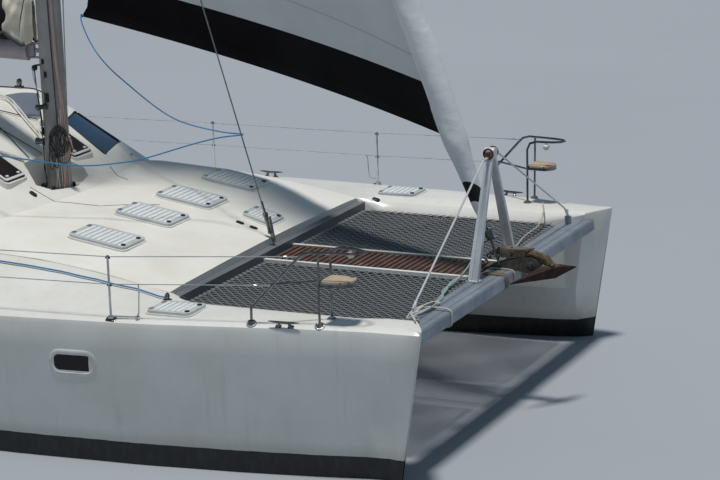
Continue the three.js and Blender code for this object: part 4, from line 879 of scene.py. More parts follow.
# The section from its foot to its top, as shares of half width and height
BAG_SIDE = [(0.36, 0.0), (0.8, 0.05), (0.97, 0.2), (1.0, 0.45), (0.9, 0.7), (0.66, 0.88), (0.34, 0.97),
            (0.0, 0.985)]
# The sail's front, hung over the boom's end. Columns: x, lowest edge, half width, top
HANG = [(0.29, 3.9, 0.19, 4.34), (0.36, 3.84, 0.185, 4.35), (0.42, 3.8, 0.17, 4.345),
        (0.5, 3.74, 0.145, 4.33), (0.54, 3.75, 0.125, 4.31), (0.56, 3.755, 0.085, 4.295),
        (0.58, 3.77, 0.05, 4.275), (0.6, 3.82, 0.035, 4.24)]


def boom_top(x):
    return BOOM_TOP + BOOM_SLOPE * (BOOM_PIN_X - x)


def bag_point(x, u, out=0.0):
    """U goes round the section from the foot on one side over the top to the foot on the other."""
    size, s = read(BAG, x)[0], abs(u)
    y, z = (float(np.interp(1 - s, np.linspace(0, 1, len(BAG_SIDE)), column)) for column in zip(*BAG_SIDE))
    slack = min(min(abs(x - jack) for jack in JACKS) / 0.6, 1.0)
    crease = 0.5 * sin(11 * x + 5 * u) + 0.3 * sin(27 * x - 9 * u + 1.3) + 0.2 * sin(49 * x + 3 * u)
    swell = 1 - 0.035 * slack + 0.035 * crease * (0.35 + 0.65 * sin(pi * (1 - s)))
    y = y * BAG_HALF * min(size + 0.1, 1) * min(swell, 1.03) + out
    z = z * BAG_HIGH * size * (1 - 0.035 * slack * (1 - s) - 0.012 * (1 + crease)) + out * (1 - s)
    return Vector((x, copysign(y, u) if s else 0.0, boom_top(x) + max(z, 0.002)))


def sail_bag():
    xs = [0.36, 0.352, 0.345, *np.linspace(0.32, -4.34, 150), -4.36, -4.38, -4.39]
    bag = Shape().rings([[bag_point(x, u) for u in np.linspace(-0.999, 0.999, 44)] for x in xs])
    cloth = bag.piece("sail_bag_cloth", "canvas", CANVAS, body="boom", sharp=60)
    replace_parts(cloth, "sail_bag")
    trim = Shape()
    for x in SEAMS:
        for off in (-0.012, 0.012):
            trim.tube([bag_point(x + off, u, 0.003) for u in np.linspace(-0.96, 0.96, 40)], 0.002, 5)
    trim.tube([bag_point(x, 0.0, 0.006) for x in np.linspace(0.2, -4.25, 120)], 0.009, 6, flat=1.6)
    for side in BOTH:
        trim.tube([bag_point(x, side * 0.78, 0.004) for x in np.linspace(0.24, -4.3, 120)], 0.0025, 5)
        for x in JACKS:
            tape = [bag_point(x, side * u, 0.004) for u in np.linspace(0.9, 0.35, 20)]
            trim.tube(tape, 0.012, 6, flat=0.25)
    for x in JACKS:
        strap = rounded(-0.079, 0.079, boom_top(x) - BOOM_DEEP, boom_top(x) + 0.002, 0.05, 4)
        trim.tube([(x, y, z) for y, z in strap], 0.014, 6, closed=True, flat=0.25)
    trim.piece("sail_bag_trim", "canvas", DARK_FITTING, body="boom")


def fold_point(s, t):
    """S goes forward and t over the folds from port to starboard."""
    x = HANG[0][0] + (HANG[-1][0] - HANG[0][0]) * s
    low, half, top = read(HANG, x)
    a = pi * (0.5 - t)
    crease = 0.011 * sin(31 * x + 7 * sin(2 * a)) + 0.007 * sin(63 * x - 5 * a)
    crease = (crease + 0.009 * sin(9 * a + 12 * x)) * min(1.0, half / 0.14)
    y = (half + crease) * copysign(abs(sin(a)) ** 0.6, sin(a))
    z = low + (top - low) * cos(a) ** 0.75 + 0.5 * crease
    return Vector((x, y, z if abs(y) > 0.03 else max(z, 4.0)))


def main_folds():
    """The luff of the mainsail, folded over itself in front of its bag, and its ties."""
    cloth = Shape().grid(fold_point, 40, 72)
    cloth = cloth.piece("mainsail_folds", "sailcloth", CREAM_CLOTH, body="boom", sharp=180)
    thicken(cloth, CLOTH_THICK)
    around = max(length_of([fold_point(s, k / 200) for k in range(201)]) for s in (0.0, 0.2, 0.4, 0.6))
    ties = Shape()
    for side in BOTH:
        start = [bag_point(0.05, side * 0.9, 0.004), bag_point(0.18, side * 0.95, 0.004)]
        edge = [(x, side * (half + 0.012), low) for x, low, half, _ in HANG[:-3]]
        ties.tube(smooth_path([*start, *edge]), 0.02, flat=0.7)
    for t0, t1 in ((0.02, 0.55), (0.35, 0.98)):
        ties.tube([fold_point(0.55 + 0.25 * sin(3 * t), t) + Vector((0, 0, 0.006))
                   for t in np.linspace(t0, t1, 24)], 0.006, 6)
    ties.piece("mainsail_ties", "rope", DARK_ROPE, body="boom")


def boom_rigging():
    """Lazy jacks and the topping lift leave the mast on the boom's own axis, so they swing with it."""
    lines, metal = Shape(), Shape()
    for side in BOTH:
        split, second = Vector((-1.0, side * 0.2, 6.6)), Vector((-2.6, side * 0.2, 5.4))
        first, *others = (bag_point(x, side * 0.4) for x in JACKS)
        lines.bar((BOOM_PIN_X, 0, 10.4), split, 0.004, 6)
        for a, b in ((split, first), (split, second), *((second, end) for end in others)):
            lines.bar(a, b, 0.0035, 6)
        for p in (split, second):
            metal.at(facing(p, ATHWART))
            metal.lathe([(0.012, -0.004), (0.016, 0), (0.012, 0.004), (0.008, 0), (0.012, -0.004)], 12)
    x, z = -4.5, boom_top(-4.5) + 0.01
    metal.at().bar((BOOM_PIN_X, 0, 19.2), (x + 0.09, 0, z + 0.33), 0.003, 6)
    block(metal, facing((x + 0.05, 0, z + 0.12), ATHWART), 0.045)
    metal.bar((x + 0.09, 0, z + 0.33), (x + 0.06, 0, z + 0.16), 0.004, 6)
    for x in SHEET_BLOCKS:
        z = boom_top(x) - BOOM_DEEP
        metal.tube([(x, -0.05, z + 0.02), (x, -0.035, z - 0.03), (x, 0, z - 0.05), (x, 0.035, z - 0.03),
                    (x, 0.05, z + 0.02)], 0.006)
        block(metal, facing((x, 0, z - 0.095), (1, 0, 0)), 0.05)
    metal.piece("boom_fittings", "stainless", DARK_FITTING, body="boom")
    lines.piece("lazy_jacks", "rope", DARK_ROPE, body="boom")


def mainsheet():
    """A tackle of four parts from the boom to a block on the hard top."""
    foot = Vector((-3.95, 0, 3.2))
    rope, fitting = Shape(), Shape()
    for x in SHEET_BLOCKS:
        head = Vector((x, 0, boom_top(x) - BOOM_DEEP - 0.1))
        for y in (-0.022, 0.022):
            part = [foot.lerp(head, t) + Vector((y * (1 - t) * 0.5, y, 0)) for t in np.linspace(0.08, 1, 12)]
            rope.tube(part, 0.006, 6)
    block(fitting, facing(foot + Vector((0, 0, 0.02)), (1, 0, 0)), 0.06)
    fitting.at((foot.x, 0, 3.125)).pad(0.09, 0.045, 0.02, 0.014, 0.004, steps=5)
    fitting.tube([(-0.03, 0, 0.01), (-0.02, 0, 0.06), (0.02, 0, 0.06), (0.03, 0, 0.01)], 0.007)
    fitting.piece("mainsheet_block", "stainless", DARK_FITTING)
    tackle = rope.piece("mainsheet", "rope", WHITE_ROPE, body=None)
    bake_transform(tackle)


# The mast's own gear. Columns: height, share of the full section
MAST_SIZE = [(2, 1), (9, 1), (16.9, 0.98), (19.3, 0.62)]
MAST_TOP = 19.3
# Each bundle: paint, radius, lines, coils (middle, half width, half height, turns)
HALYARDS = {
    "black_halyards": (DARK_ROPE, 0.0065, [
        [(0.855, -0.104, 16.6), (0.856, -0.1, 4.27), (0.868, -0.1, 3.691), (0.879, -0.1, 3.283),
         (0.894, -0.105, 2.813)],
        [(0.80, 0.108, 16.4), (0.86, 0.108, 5.2), (0.87, 0.106, 2.9), (0.9, 0.125, 2.18)],
        [(0.6, -0.06, 3.475), (0.612, -0.08, 3.4), (0.634, -0.08, 3.14), (0.664, -0.07, 2.87),
         (0.66, -0.07, 2.6)],
        [(0.61, -0.075, 3.46), (0.628, -0.09, 3.3), (0.655, -0.08, 3.0), (0.69, -0.1, 2.3),
         (0.7, -0.1, 2.09)]],
        [((0.92, -0.118, 2.6), 0.12, 0.22, 6), ((0.87, -0.135, 2.5), 0.05, 0.28, 3),
         ((0.99, -0.125, 2.62), 0.05, 0.17, 3)]),
    "flecked_halyards": (RED_ROPE, 0.0085, [
        [(0.852, -0.1, 16.5), (0.889, -0.095, 4.263), (0.915, -0.09, 3.451), (0.95, -0.085, 3.102),
         (0.965, -0.085, 2.513), (0.97, -0.085, 2.05)],
        [(0.872, -0.1, 16.4), (0.908, -0.09, 4.263), (0.935, -0.085, 3.4), (0.972, -0.076, 3.0),
         (0.985, -0.075, 2.5), (0.99, -0.075, 2.05)],
        [(0.862, -0.1, 16.4), (0.9, -0.096, 4.263), (0.926, -0.093, 3.4), (0.955, -0.09, 2.9),
         (0.958, -0.09, 2.05)],
        [(1.0, -0.12, 2.53), (0.985, -0.125, 2.3), (0.954, -0.13, 2.07)]],
        [((1.03, -0.1, 2.58), 0.04, 0.11, 4)]),
    "white_halyards": (WHITE_ROPE, 0.0065, [
        [(0.93, -0.09, 3.0), (0.95, -0.105, 2.6), (0.955, -0.115, 2.06)],
        [(0.915, -0.1, 2.9), (0.925, -0.112, 2.4), (0.93, -0.12, 2.08)],
        [(0.86, -0.115, 2.45), (0.87, -0.13, 2.25), (0.85, -0.125, 2.08)],
        [(0.9, -0.115, 2.42), (0.885, -0.13, 2.2), (0.9, -0.13, 2.07)],
        [(0.66, 0.05, 3.3), (0.665, 0.06, 2.6), (0.69, 0.09, 2.1)]], []),
    "teal_halyard": (TEAL_ROPE, 0.006, [
        [(0.595, -0.085, 3.46), (0.6, -0.1, 3.4), (0.66, -0.09, 3.15), (0.672, -0.09, 3.12)]], []),
}
COIL_ROPE = 0.006
# Columns: height, angle round the mast, size
MAST_WINCHES = ((2.584, 180, 0.7), (3.02, 242, 0.6), (3.02, 118, 0.6))
MAST_CLEATS = ((3.398, 255, 0.8), (3.128, 255, 1.3), (3.548, 245, 0.7), (3.128, 105, 1.2), (3.4, 105, 0.8),
               (2.72, 200, 1.0))
FOOT_BLOCKS = (200, 235, 270, 300, 60, 90, 125, 160)
# Columns: height, reach, sweep
SPREADERS = ((7.4, 1.15, 0.42), (12.1, 0.9, 0.33))
DRUM = [(0, 0), (0.07, 0), (0.072, 0.02), (0.052, 0.03), (0.046, 0.08), (0.06, 0.11), (0.06, 0.125),
        (0.035, 0.135), (0, 0.135)]


def rake(z):
    return 0.815 - 0.006 * (z - 2)


def on_mast(z, angle, out):
    """A point off the mast's skin; 0 degrees is forward and 90 to port."""
    k, a = read(MAST_SIZE, z)[0], radians(angle)
    return Vector((rake(z) + (0.16 * k + out) * cos(a), (0.095 * k + out) * sin(a), z))


def mast_place(z, angle, out):
    """A place at that point whose Z points away from the mast."""
    a = radians(angle)
    return facing(on_mast(z, angle, out), (cos(a), sin(a), 0))


def coil(shape, centre, wide, high, turns):
    """A hank of rope hung against the mast's starboard side and lashed at its head."""
    centre = Vector(centre)
    for i in range(turns):
        grow = 1 - 0.07 * (i % 3) + 0.02 * sin(5 * i)
        stretch = grow * (1 - 0.22 * sin(1.7 * i + 1) ** 2)
        ring = []
        for a in angles(32):
            pinch = grow * (1 - 0.45 * max(sin(a), 0) ** 2)
            down = high * stretch * (1 - sin(a))
            drift = 0.014 * sin(2.3 * i) - 0.16 * sin(1.3 * i) * down + 0.004 * sin(3 * a + i)
            out = 0.004 * sin(3 * a + 0.7 * i) - 0.006 * i
            ring.append(centre + Vector((wide * pinch * cos(a) + drift, out, high - down - 0.01 * (i % 2))))
        shape.tube(ring, COIL_ROPE, 6, closed=True)
    neck = centre + Vector((0, -0.003 * turns, high * 0.8))
    wound(shape, neck, (0.15, 0, 1), wide * 0.5, 0.004 * turns + 0.008, 5, COIL_ROPE * 0.8)


def halyards():
    for name, (paint, radius, lines, coils) in HALYARDS.items():
        shape = Shape()
        for line in lines:
            shape.line(line, radius, 4, 6)
        for hank in coils:
            coil(shape, *hank)
        shape.piece(name, "rope", paint)


def mast_gear():
    """Track, winches, cleats, blocks and lights."""
    metal, dark, white = Shape(), Shape(), Shape()
    metal.tube([on_mast(z, 180, 0.004) for z in np.linspace(4.3, 18.9, 30)], 0.013, 6)
    for z, angle, size in MAST_WINCHES:
        metal.at(mast_place(z, angle, -0.006)).lathe([(r * size, high) for r, high in DRUM], 20)
    for z, angle, size in MAST_CLEATS:
        w = 0.022 * size
        dark.at(mast_place(z, angle, -0.004)).pad(w, w * 1.9, w * 0.5, 0.016 * size, 0.004)
        horn = [(0, w * v, high * size) for v, high in ((-2.6, 0.034), (-1, 0.026), (1, 0.026), (2.6, 0.034))]
        dark.tube(horn, [0.004, 0.008, 0.008, 0.004])
    block(white, facing((0.652, -0.05, 2.809), ATHWART), 0.04)
    for y in (-0.075, -0.045):
        block(dark, facing((0.603, y, 3.465), ATHWART), 0.036)
    dark.bar((0.603, -0.06, 3.49), (0.665, -0.045, 3.5), 0.012)
    for angle in FOOT_BLOCKS:
        p, a = on_mast(2.07, angle, 0.055), radians(angle)
        dark.bar(deck(p.x, p.y), deck(p.x, p.y, 0.025), 0.018, 10)
        block(dark, facing(deck(p.x, p.y, 0.058), (-sin(a), cos(a), 0)), 0.036)
    for z, span, sweep in SPREADERS:
        for side in BOTH:
            dark.at(facing((rake(z) - sweep, side * (span - 0.03), z + 0.035), (-0.25, side, 0.03)))
            dark.lathe([(0, 0), (0.026, 0), (0.036, 0.02), (0.034, 0.045), (0.018, 0.058), (0, 0.06)], 14)
    white.at(mast_place(8.25, 0, -0.005))
    white.lathe([(0, 0), (0.04, 0), (0.04, 0.035), (0.028, 0.05), (0.028, 0.075), (0, 0.085)])
    masthead(metal, dark, white)
    pieces((metal, "mast_track_and_winches", "stainless", STEEL),
           (dark, "mast_cleats_and_blocks", "stainless", DARK_FITTING),
           (white, "mast_lights", "gelcoat", WHITE_PLASTIC))


def masthead(metal, dark, white):
    """The crane with its block, the wind vane, the anchor light and the aerial."""
    x, z = rake(MAST_TOP), MAST_TOP
    metal.at((x, 0, z - 0.005)).pad(0.17, 0.045, 0.02, 0.02, 0.004, (-0.03, 0), steps=5)
    block(metal, facing((x - 0.165, 0, z - 0.045), ATHWART), 0.04)
    metal.bar((x + 0.08, 0, z + 0.01), (x + 0.12, 0, z + 0.2), 0.004, 6)
    vane = [(x + 0.27, 0, z + 0.22), (x + 0.12, 0, z + 0.2), (x - 0.06, 0, z + 0.23)]
    metal.tube(vane, [0.002, 0.004, 0.003], 6)
    white.at((x - 0.02, 0, z + 0.015))
    white.lathe([(0, 0), (0.03, 0), (0.03, 0.05), (0.034, 0.055), (0.03, 0.09), (0.01, 0.1), (0, 0.1)])
    dark.at((x - 0.1, 0, z + 0.015))
    dark.lathe([(0, 0), (0.012, 0), (0.01, 0.08), (0.003, 0.09), (0.002, 0.42), (0, 0.42)], 8)


# Stanchions, and the feet and ends of the bow rails, as x, y (and height) on the port side
POSTS = ((3.41, 3.254), (1.03, 3.365), (-1.35, 3.395), (-3.5, 3.372), (-4.7, 3.335))
POST_HIGH, WIRES_HIGH = 0.665, (0.645, 0.357)
SEAT = [(5.64, 2.675), (5.85, 2.665), (5.925, 2.7), (5.955, 2.79), (5.925, 2.88), (5.85, 2.935), (5.64, 2.95)]
SEAT_MIDDLE, SEAT_OVERHANG = Vector((5.79, 2.805)), 1.03
FEET = ((4.915, 3.05), (5.62, 2.943), (5.63, 2.686))
FOOT = [(0, 0), (0.052, 0), (0.054, 0.004), (0.05, 0.009), (0.024, 0.011), (0.019, 0.03), (0, 0.03)]
RAIL_ENDS = ((5.455, 2.98, 2.3), (5.13, 3.02, 1.99))
LAMP = [(0, -0.05), (0.026, -0.047), (0.034, -0.036), (0.034, -0.026), (0.04, -0.022), (0.04, 0.002),
        (0.03, 0.01), (0.014, 0.014), (0.014, 0.034), (0, 0.034)]


def rig_screws():
    metal = Shape()
    for side in BOTH:
        x, y = -1.19, side * 3.38
        metal.at(stand(x, y)).pad(0.09, 0.03, 0.012, 0.008)
        turnbuckle(metal, deck(x, y), Vector((rake(7.4) - 0.42, side * 1.163, 7.47)), 0.06, 0.48, 0.017)
    turnbuckle(metal, Vector((3.616, 0, 1.56)), Vector((0.921, 0, 10.803)), 0.03, 0.52, 0.026)
    for x, y in [(x, side * y) for x, y in POSTS for side in BOTH]:
        metal.at(stand(x, y)).pad(0.055, 0.035, 0.012, 0.007)
        for u, v in ((-0.042, -0.022), (-0.042, 0.022), (0.042, -0.022), (0.042, 0.022)):
            metal.at(stand(x + u, y + v))
            metal.lathe([(0, 0), (0.006, 0), (0.006, 0.009), (0.003, 0.011), (0, 0.011)], 8)
        metal.at(deck(x, y, POST_HIGH))
        metal.lathe([(0, -0.012), (0.0145, -0.012), (0.0145, 0.001), (0.009, 0.005), (0, 0.006)], 14)
        for high in WIRES_HIGH:
            metal.at(facing(deck(x, y, high), (1, 0, 0)))
            metal.lathe([(0.007, -0.024), (0.011, -0.024), (0.011, 0.024), (0.007, 0.024)], 10)
    metal.piece("rigging_screws_and_bases", "stainless", STEEL)


def pulpit_gear():
    wood, metal, lamp = Shape(), Shape(), Shape()
    for side in BOTH:
        outline = [SEAT_MIDDLE + (Vector(p) - SEAT_MIDDLE) * SEAT_OVERHANG for p in SEAT]
        wood.slab(softened([(x, side * y) for x, y in outline][::side], 0.05, 3), 2.034, 2.058, 0.006)
        for x, y in FEET:
            metal.at(stand(x, side * y)).lathe(FOOT, 20)
            for a in angles(3):
                bolt = Matrix.Translation((0.04 * cos(a + 0.4), 0.04 * sin(a + 0.4), 0.008))
                metal.at(stand(x, side * y) @ bolt).lathe([(0, 0), (0.006, 0), (0.006, 0.004), (0, 0.005)], 8)
        lamp.at((5.87, side * 2.7, 2.3)).lathe(LAMP, 20)
        x, y = POSTS[0]
        for (u, v, z), high in zip(RAIL_ENDS, WIRES_HIGH):
            turnbuckle(metal, Vector((u, side * v, z)), deck(x, side * y, high), 0.03, 0.24, 0.009)
    pieces((wood, "pulpit_seat_boards", "teak", SEAT_WOOD),
           (metal, "pulpit_feet_and_wire_ends", "stainless", LIT_STEEL),
           (lamp, "bow_lamps", "gelcoat", WHITE_PLASTIC))


# Crossbeam, anchor and the lines about them
BEAM_X, BEAM_Z, BEAM_HALF = 6.355, 1.428, 0.163
APEX_X, APEX_Z = 6.27, 2.79


def anchor_chain():
    """Links that droop from the beam, each turned across the last."""
    chain = Shape()
    for i in range(9):
        place = Matrix.Translation((6.295 - 0.036 * i, 0.095, 1.69 - 0.012 * i - 0.004 * i * i))
        lean = Matrix.Rotation(radians(18 + 5 * i), 4, "Y")
        chain.at(place @ lean @ Matrix.Rotation(pi / 2 * (i % 2), 4, "X"))
        chain.tube([(0.028 * cos(a), 0.015 * sin(a), 0) for a in angles(16)], 0.006, 6, closed=True)
    chain.piece("anchor_chain", "rusty_iron", RUST)


def apex_shackles():
    rust = Shape()
    for side in BOTH:
        ring = [(APEX_X + 0.052 * cos(a), side * 0.07, APEX_Z + 0.052 * sin(a)) for a in angles(20)]
        rust.tube(ring, 0.012, closed=True)
    rust.at(facing((APEX_X, 0, APEX_Z), ATHWART))
    rust.lathe([(0, -0.115), (0.022, -0.115), (0.022, 0.115), (0, 0.115)], 12)
    rust.piece("apex_shackles", "rusty_iron", RED_RUST)


def beam_fittings():
    """Deck blocks of the blue line, bolts of the A-frame's feet, and the ends of the anchor's roller."""
    metal = Shape()
    for x, y in ((3.66, -2.53), (-1.3, -2.445)):
        block(metal, on_edge(stand(x, y, high=0.04)), 0.036)
        metal.at(stand(x, y)).pad(0.045, 0.025, 0.01, 0.01)
    for x, y in [(x, side * y) for x in (6.225, 6.345) for side in BOTH for y in (0.505, 0.595)]:
        metal.at((x, y, 1.514)).lathe([(0, 0), (0.009, 0), (0.009, 0.007), (0.005, 0.012), (0, 0.012)], 6)
    end = [(0, -0.008), (0.05, -0.008), (0.052, 0.004), (0.022, 0.007), (0.022, 0.02), (0, 0.022)]
    for side in BOTH:
        metal.at(facing((6.7, 0.095 + side * 0.057, 1.56), (0, side, 0))).lathe(end, 18)
    metal.piece("beam_fittings", "stainless", STEEL)


def bow_lashings():
    """A flat coil on the starboard end of the beam, its hitches, and the stay's lashing over it."""
    rope = Shape()
    for k in range(6):
        wide, long = 0.045 + 0.006 * (k % 3), 0.33 - 0.02 * k
        y, z = -1.8 + 0.02 * (k % 2), 1.512 + 0.012 * (k // 2)
        rope.tube([(6.235 + wide * cos(a) + 0.03 * sin(a), y + long * sin(a), z + 0.004 * sin(2 * a + k))
                   for a in angles(32)], 0.009, 6, closed=True)
    wound(rope, (BEAM_X, -1.72, 1.43), ATHWART, BEAM_HALF, 0.102, 2, 0.007)
    rope.line([(6.195, -1.45, 1.5), (6.2, -1.75, 1.53), (6.24, -2.05, 1.54), (6.3, -2.2, 1.6)], 0.01)
    rope.line([(6.31, -2.21, 1.59), (6.34, -2.33, 1.62), (6.42, -2.45, 1.62), (6.48, -2.55, 1.62)], 0.01)
    for k in range(3):
        rope.tube([(6.31 + 0.035 * cos(a) + 0.01 * k, -2.23 + 0.06 * sin(a),
                    1.57 + 0.02 * cos(a + k) - 0.012 * k) for a in angles(20)], 0.009, 6, closed=True)
    rope.piece("bow_lashings", "rope", WHITE_ROPE)


def anchor_lashings():
    tan = Shape()
    for y, turns in ((0.31, 6), (-0.2, 4)):
        wound(tan, (BEAM_X, y, BEAM_Z), ATHWART, BEAM_HALF, 0.082, turns, 0.011)
    wound(tan, (6.4, 0.095, 1.686), (1, 0, 0), 0.05, 0.05, 5, 0.012)
    wound(tan, (6.56, 0.095, 1.688), (1, 0, 0), 0.05, 0.05, 6, 0.011)
    tan.line([(6.2, 0.31, 1.52), (6.3, 0.2, 1.66), (6.42, 0.06, 1.72), (6.6, 0.04, 1.735),
              (6.72, 0.1, 1.745)], 0.012)
    tan.piece("anchor_lashings", "rope", TAN_ROPE)


def bow_lines():
    """The bridle on the port side, the furling line on the starboard one, and the blue line aft."""
    cream, teal, blue = Shape(), Shape(), Shape()
    wound(cream, (BEAM_X, 0.02, BEAM_Z), ATHWART, BEAM_HALF, 0.082, 2, 0.007)
    cream.line([(6.25, 0.45, 1.515), (6.2, 0.75, 1.512), (6.13, 1.1, 1.512), (6.08, 1.45, 1.52),
                (6.09, 1.85, 1.55), (6.0, 2.25, 1.62), (5.85, 2.62, 1.63)], 0.008, 6)
    for off in (0.0, 0.022, -0.018):
        teal.line([(6.2, -0.07 + off, 1.9), (6.14, -0.35, 1.6 + off), (6.105 + off, -0.745, 1.525),
                   (6.15 - off, -1.05, 1.52), (6.215 + off, -1.3, 1.512), (6.24, -1.48, 1.512)], 0.007, 6)
    route = laid([(-1.25, -2.445), (1.56, -2.45), (2.32, -2.463), (3.25, -2.483), (3.62, -2.52)], 0.022)
    blue.tube(route, 0.009)
    pieces((cream, "bridle", "rope", CREAM_ROPE), (teal, "furling_line", "rope", TEAL_ROPE),
           (blue, "side_deck_line", "rope", BLUE_ROPE))


# On the coachroof: light shades beside the mast, their frames, and short lines to the foot blocks
SHADE = [(-0.564, 1.033), (-0.442, 1.583), (-0.018, 0.942), (-0.062, 0.618)]
SHADE_BARS = [[(-0.535, 0.879), (-0.062, 0.618), (0.277, 0.44), (0.609, 0.17)],
              [(-0.6, 0.99), (-0.1, 0.7), (0.24, 0.5), (0.575, 0.22)]]
SHADE_STEPS = 8
# Columns: x, y, height
EYES = ((0.896, -0.71, 0.016), (3.11, 0.136, 0.014), (3.28, 0.141, 0.014), (3.775, 2.396, 0.014),
        (3.775, -2.396, 0.014))


def shade_point(side, s, t):
    a, b, c, d = (Vector(p) for p in SHADE)
    p = a.lerp(b, s).lerp(d.lerp(c, s), t)
    return deck(p.x, side * p.y, 0.012 + 0.01 * sin(pi * s) * sin(pi * t))


def roof_shades():
    """Thin panels in light frames, each with two bars on short legs."""
    panel, bars = Shape(), Shape()
    steps = [k / SHADE_STEPS for k in range(SHADE_STEPS)]
    edge = [(k, 0) for k in steps] + [(1, k) for k in steps]
    edge += [(1 - s, 1 - t) for s, t in edge]
    for side in BOTH:
        panel.grid(lambda s, t: shade_point(side, s, t), SHADE_STEPS, SHADE_STEPS)
        bars.tube([shade_point(side, s, t) for s, t in edge], 0.009, 6, closed=True)
        for line in SHADE_BARS:
            bars.tube(laid([(x, side * y) for x, y in line], 0.03, 5), 0.011)
            for x, y in line[1:]:
                bars.bar(deck(x, side * y), deck(x, side * y, 0.03), 0.009)
    thicken(panel.piece("roof_shades", "gelcoat", SHADE_GREY), 0.012, -1)
    bars.piece("roof_shade_frames", "gelcoat", WHITE_PLASTIC)


def roof_lines():
    """Dark seams and eyes on the roof, and the control lines laid over it."""
    seams, red, green = Shape(), Shape(), Shape()
    seams.tube(laid([(0.89, 1.014), (1.1, 0.86), (1.288, 0.754)], 0.001), 0.004, 5)
    seams.tube(laid([(0.809, -0.63), (1.273, -0.531), (1.642, -0.483), (2.175, -0.041)], 0.001), 0.004, 5)
    for x, y, high in EYES:
        seams.at(stand(x, y)).pad(0.05, 0.03, 0.028, high, 0.006, steps=4)
    red.tube(laid([(-0.216, 0.386), (0.026, 0.827)], 0.02, 10), 0.006, 6)
    green.tube(laid([(-0.35, 0.0), (0.02, 0.03), (0.5, -0.14)], 0.018), 0.006, 6)
    green.tube(laid([(-0.9, 0.25), (0.02, 0.011), (0.56, 0.15)], 0.018), 0.006, 6)
    pieces((seams, "roof_seams_and_eyes", "stainless", DARK_FITTING),
           (red, "roof_line_red", "rope", RED_LINE), (green, "roof_line_green", "rope", GREEN_LINE))


def sheet_tracks():
    """A track on each side of the roof, with a block on its car."""
    track, car = Shape(), Shape()
    for side in BOTH:
        track.tube(laid([(-2.1, side * 1.74), (-0.35, side * 1.78)], 0.008, 20), 0.016, 6, flat=0.5)
        car.at(stand(-0.83, side * 1.762)).pad(0.06, 0.03, 0.012, 0.034, 0.006, low=0.006)
        block(car, on_edge(stand(-0.83, side * 1.762, high=0.075)), 0.048)
    pieces((track, "sheet_tracks", "stainless", DARK_FITTING), (car, "sheet_leads", "stainless", STEEL))


# Aft: treads on the stern steps, rails, winch heads, the table's edge, dials and the wheel's cover.
# Columns: aft end, front end, height
STEPS = ((-5.4, -4.95, 1.19), (-5.85, -5.4, 0.93), (-6.3, -5.85, 0.66), (-6.65, -6.3, 0.39))
STEP_INNER, STEP_OUTER, SLATS = 2.48, 3.2, 7
# How far the hard top's skin drops at its ends. Columns: distance aft, drop
HARD_TOP = [(2.95, 0.05), (3.4, 0), (5.35, 0), (5.75, 0.06)]
WINCH_X, WINCH_Y = -3.75, 2.56
HELM_Y = -1.75
WHEEL_X, WHEEL_Z, WHEEL_RADIUS, COVER_RADIUS = -3.72, 1.95, 0.4, 0.0195
HANDRAIL = [(-6.62, 3.1, 0.39), (-6.62, 3.1, 0.95), (-6.5, 3.1, 1.1), (-5.62, 3.12, 1.62), (-5.5, 3.12, 1.6),
            (-5.48, 3.12, 0.93)]


def top_height(x, y):
    return 3.13 - 0.03 * y * y - read(HARD_TOP, -x)[0]


def stern_treads():
    tread, slat = Shape(), (STEP_OUTER - STEP_INNER) / SLATS
    for side in BOTH:
        for x0, x1, z in STEPS:
            for k in range(SLATS):
                long, middle = (x1 - x0) / 2 - 0.05, ((x0 + x1) / 2, side * (STEP_INNER + slat * (k + 0.5)))
                tread.at((0, 0, z)).pad(long, slat * 0.45, 0.008, 0.009, middle=middle, steps=2)
    tread.piece("stern_treads", "teak", TEAK)


def table_fiddle():
    """The table's raised edge, and the seams between its leaves."""
    wood = Shape()
    wood.tube([(x, y, 1.69) for x, y in rounded(-4.65, -3.85, -0.15, 0.95, 0.09, 6)], 0.012, 6, closed=True)
    for x in (-4.38, -4.12):
        seam = [(x - 0.004, -0.1), (x + 0.004, -0.1), (x + 0.004, 0.9), (x - 0.004, 0.9)]
        wood.slab(seam, 1.689, 1.694, 0.001)
    wood.piece("table_fiddle", "teak", TEAK)


def aft_rails():
    """Rails on the hard top, handrails beside the stern steps, and the heads of the winches."""
    rail, leg = Shape(), Vector((0, 0, 0.075))
    head = [(0, 0), (0.05, 0), (0.052, 0.006), (0.04, 0.014), (0.018, 0.016), (0.016, 0.01), (0, 0.01)]
    for side in BOTH:
        y = side * 1.72
        high = [Vector((x, y, top_height(x, y) + 0.07)) for x in (-3.3, -3.8, -4.3, -4.8, -5.3)]
        rail.tube([high[0] - leg, *high, high[-1] - leg], 0.0125)
        for p in high[1:-1]:
            rail.bar(p, p - leg, 0.009)
        rail.at(stand(WINCH_X, side * WINCH_Y, high=0.19)).lathe(head, 24)
        rail.at().line([(x, side * y, z) for x, y, z in HANDRAIL], 0.0125, 4)
    rail.piece("aft_rails_and_winch_heads", "stainless", STEEL)


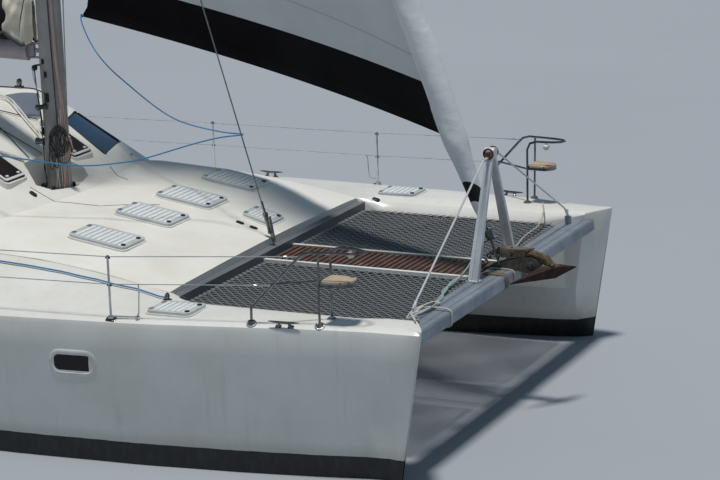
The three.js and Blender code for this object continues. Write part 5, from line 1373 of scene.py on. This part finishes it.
def helm_dials():
    """The dark rings of the winches, and at the helm three dials, the compass and the two throttles."""
    dark = Shape()
    for side in BOTH:
        y = side * WINCH_Y
        dark.at(stand(WINCH_X, y)).lathe([(0.086, 0), (0.1, 0), (0.1, 0.012), (0.086, 0.018)], 24)
        dark.at(stand(WINCH_X, y, high=0.155))
        dark.lathe([(0.055, 0), (0.088, 0.004), (0.09, 0.012), (0.055, 0.016)], 24)
    for y in (HELM_Y - 0.15, HELM_Y, HELM_Y + 0.15):
        dark.at(facing((-3.6, y, 2.015), (-0.944, 0, 0.328)))
        dark.lathe([(0, 0), (0.06, 0), (0.062, 0.006), (0.054, 0.012), (0.05, 0.006), (0, 0.006)], 24)
    compass = [(0, 0), (0.085, 0), (0.085, 0.02), (0.07, 0.035), (0.06, 0.075), (0.035, 0.1), (0, 0.108)]
    dark.at((-3.46, HELM_Y, 2.13)).lathe(compass, 24).at()
    for y in (HELM_Y - 0.19, HELM_Y - 0.165):
        dark.tube([(-3.47, y, 2.13), (-3.5, y, 2.2), (-3.54, y, 2.24)], [0.008, 0.007, 0.012])
    dark.piece("helm_dials_and_winch_bases", "stainless", DARK_FITTING)


def wheel_cover():
    """A rubber cover with fine ribs round the wheel's rim."""
    rim = [(a, (WHEEL_X, HELM_Y + WHEEL_RADIUS * cos(a), WHEEL_Z + WHEEL_RADIUS * sin(a)))
           for a in angles(72)]
    cover = Shape().tube([p for _, p in rim], COVER_RADIUS, 12, closed=True)
    for a, p in rim[::2]:
        cover.at(facing(p, (0, -sin(a), cos(a))))
        cover.lathe([(COVER_RADIUS, -0.0015), (COVER_RADIUS + 0.0012, 0), (COVER_RADIUS, 0.0015)], 12)
    cover.piece("wheel_cover", "stainless", BLACK_RUBBER, body="steering_wheel")


def door_handle():
    grip = [(-3.345, 0.36, 1.72), (-3.385, 0.36, 1.74), (-3.385, 0.36, 1.96), (-3.345, 0.36, 1.98)]
    Shape().tube(grip, 0.009).piece("saloon_door_handle", "stainless", STEEL, body="saloon_door")


FLOOR_HALF = 800


def studio():
    """A pale floor at the waterline, a warm key from nearly overhead, and a cool fill."""
    mesh = bpy.data.meshes.new("floor")
    corners = [(FLOOR_HALF * u, FLOOR_HALF * v, 0) for u, v in ((-1, -1), (1, -1), (1, 1), (-1, 1))]
    mesh.from_pydata(corners, [], [(0, 1, 2, 3)])
    mesh.materials.append(plain("floor_paper", (164, 169, 177), (158, 164, 172), 0.95, 0.0, 0.05))
    shown(bpy.data.objects.new("floor", mesh))
    world = bpy.data.worlds.new("studio")
    bpy.context.scene.world = world
    world.use_nodes = True
    sky = world.node_tree.nodes["Background"]
    sky.inputs[0].default_value = (0.52, 0.75, 1.0, 1)
    sky.inputs[1].default_value = 0.23
    key = bpy.data.lights.new("key", "SUN")
    key.energy, key.angle, key.color = 2.65, radians(7), (1.0, 0.965, 0.91)
    lamp = shown(bpy.data.objects.new("key", key))
    lamp.rotation_euler = Vector((0.03, 0.10, -0.99)).to_track_quat("-Z", "Y").to_euler()
    bpy.context.scene.view_settings.view_transform = "Standard"


finish_nodes()
add_camera()
slack_sheet()
genoa()
luff_roll()
furler()
for name, side in SIDES:
    net(name, side)
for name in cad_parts:
    if name.startswith("hatch_coachroof"):
        dark_lid(name)
    elif name.startswith("hatch"):
        deck_lid(name, 6 if "bow" in name or "locker" in name else 9)
for dress in (gaskets, portlights, cleats, sail_bag, main_folds, boom_rigging, mainsheet, halyards, mast_gear,
              rig_screws, pulpit_gear, anchor_chain, apex_shackles, beam_fittings, bow_lashings,
              anchor_lashings, bow_lines, roof_shades, roof_lines, sheet_tracks, stern_treads, table_fiddle,
              aft_rails, helm_dials, wheel_cover, door_handle, studio):
    dress()
bpy.context.view_layer.update()
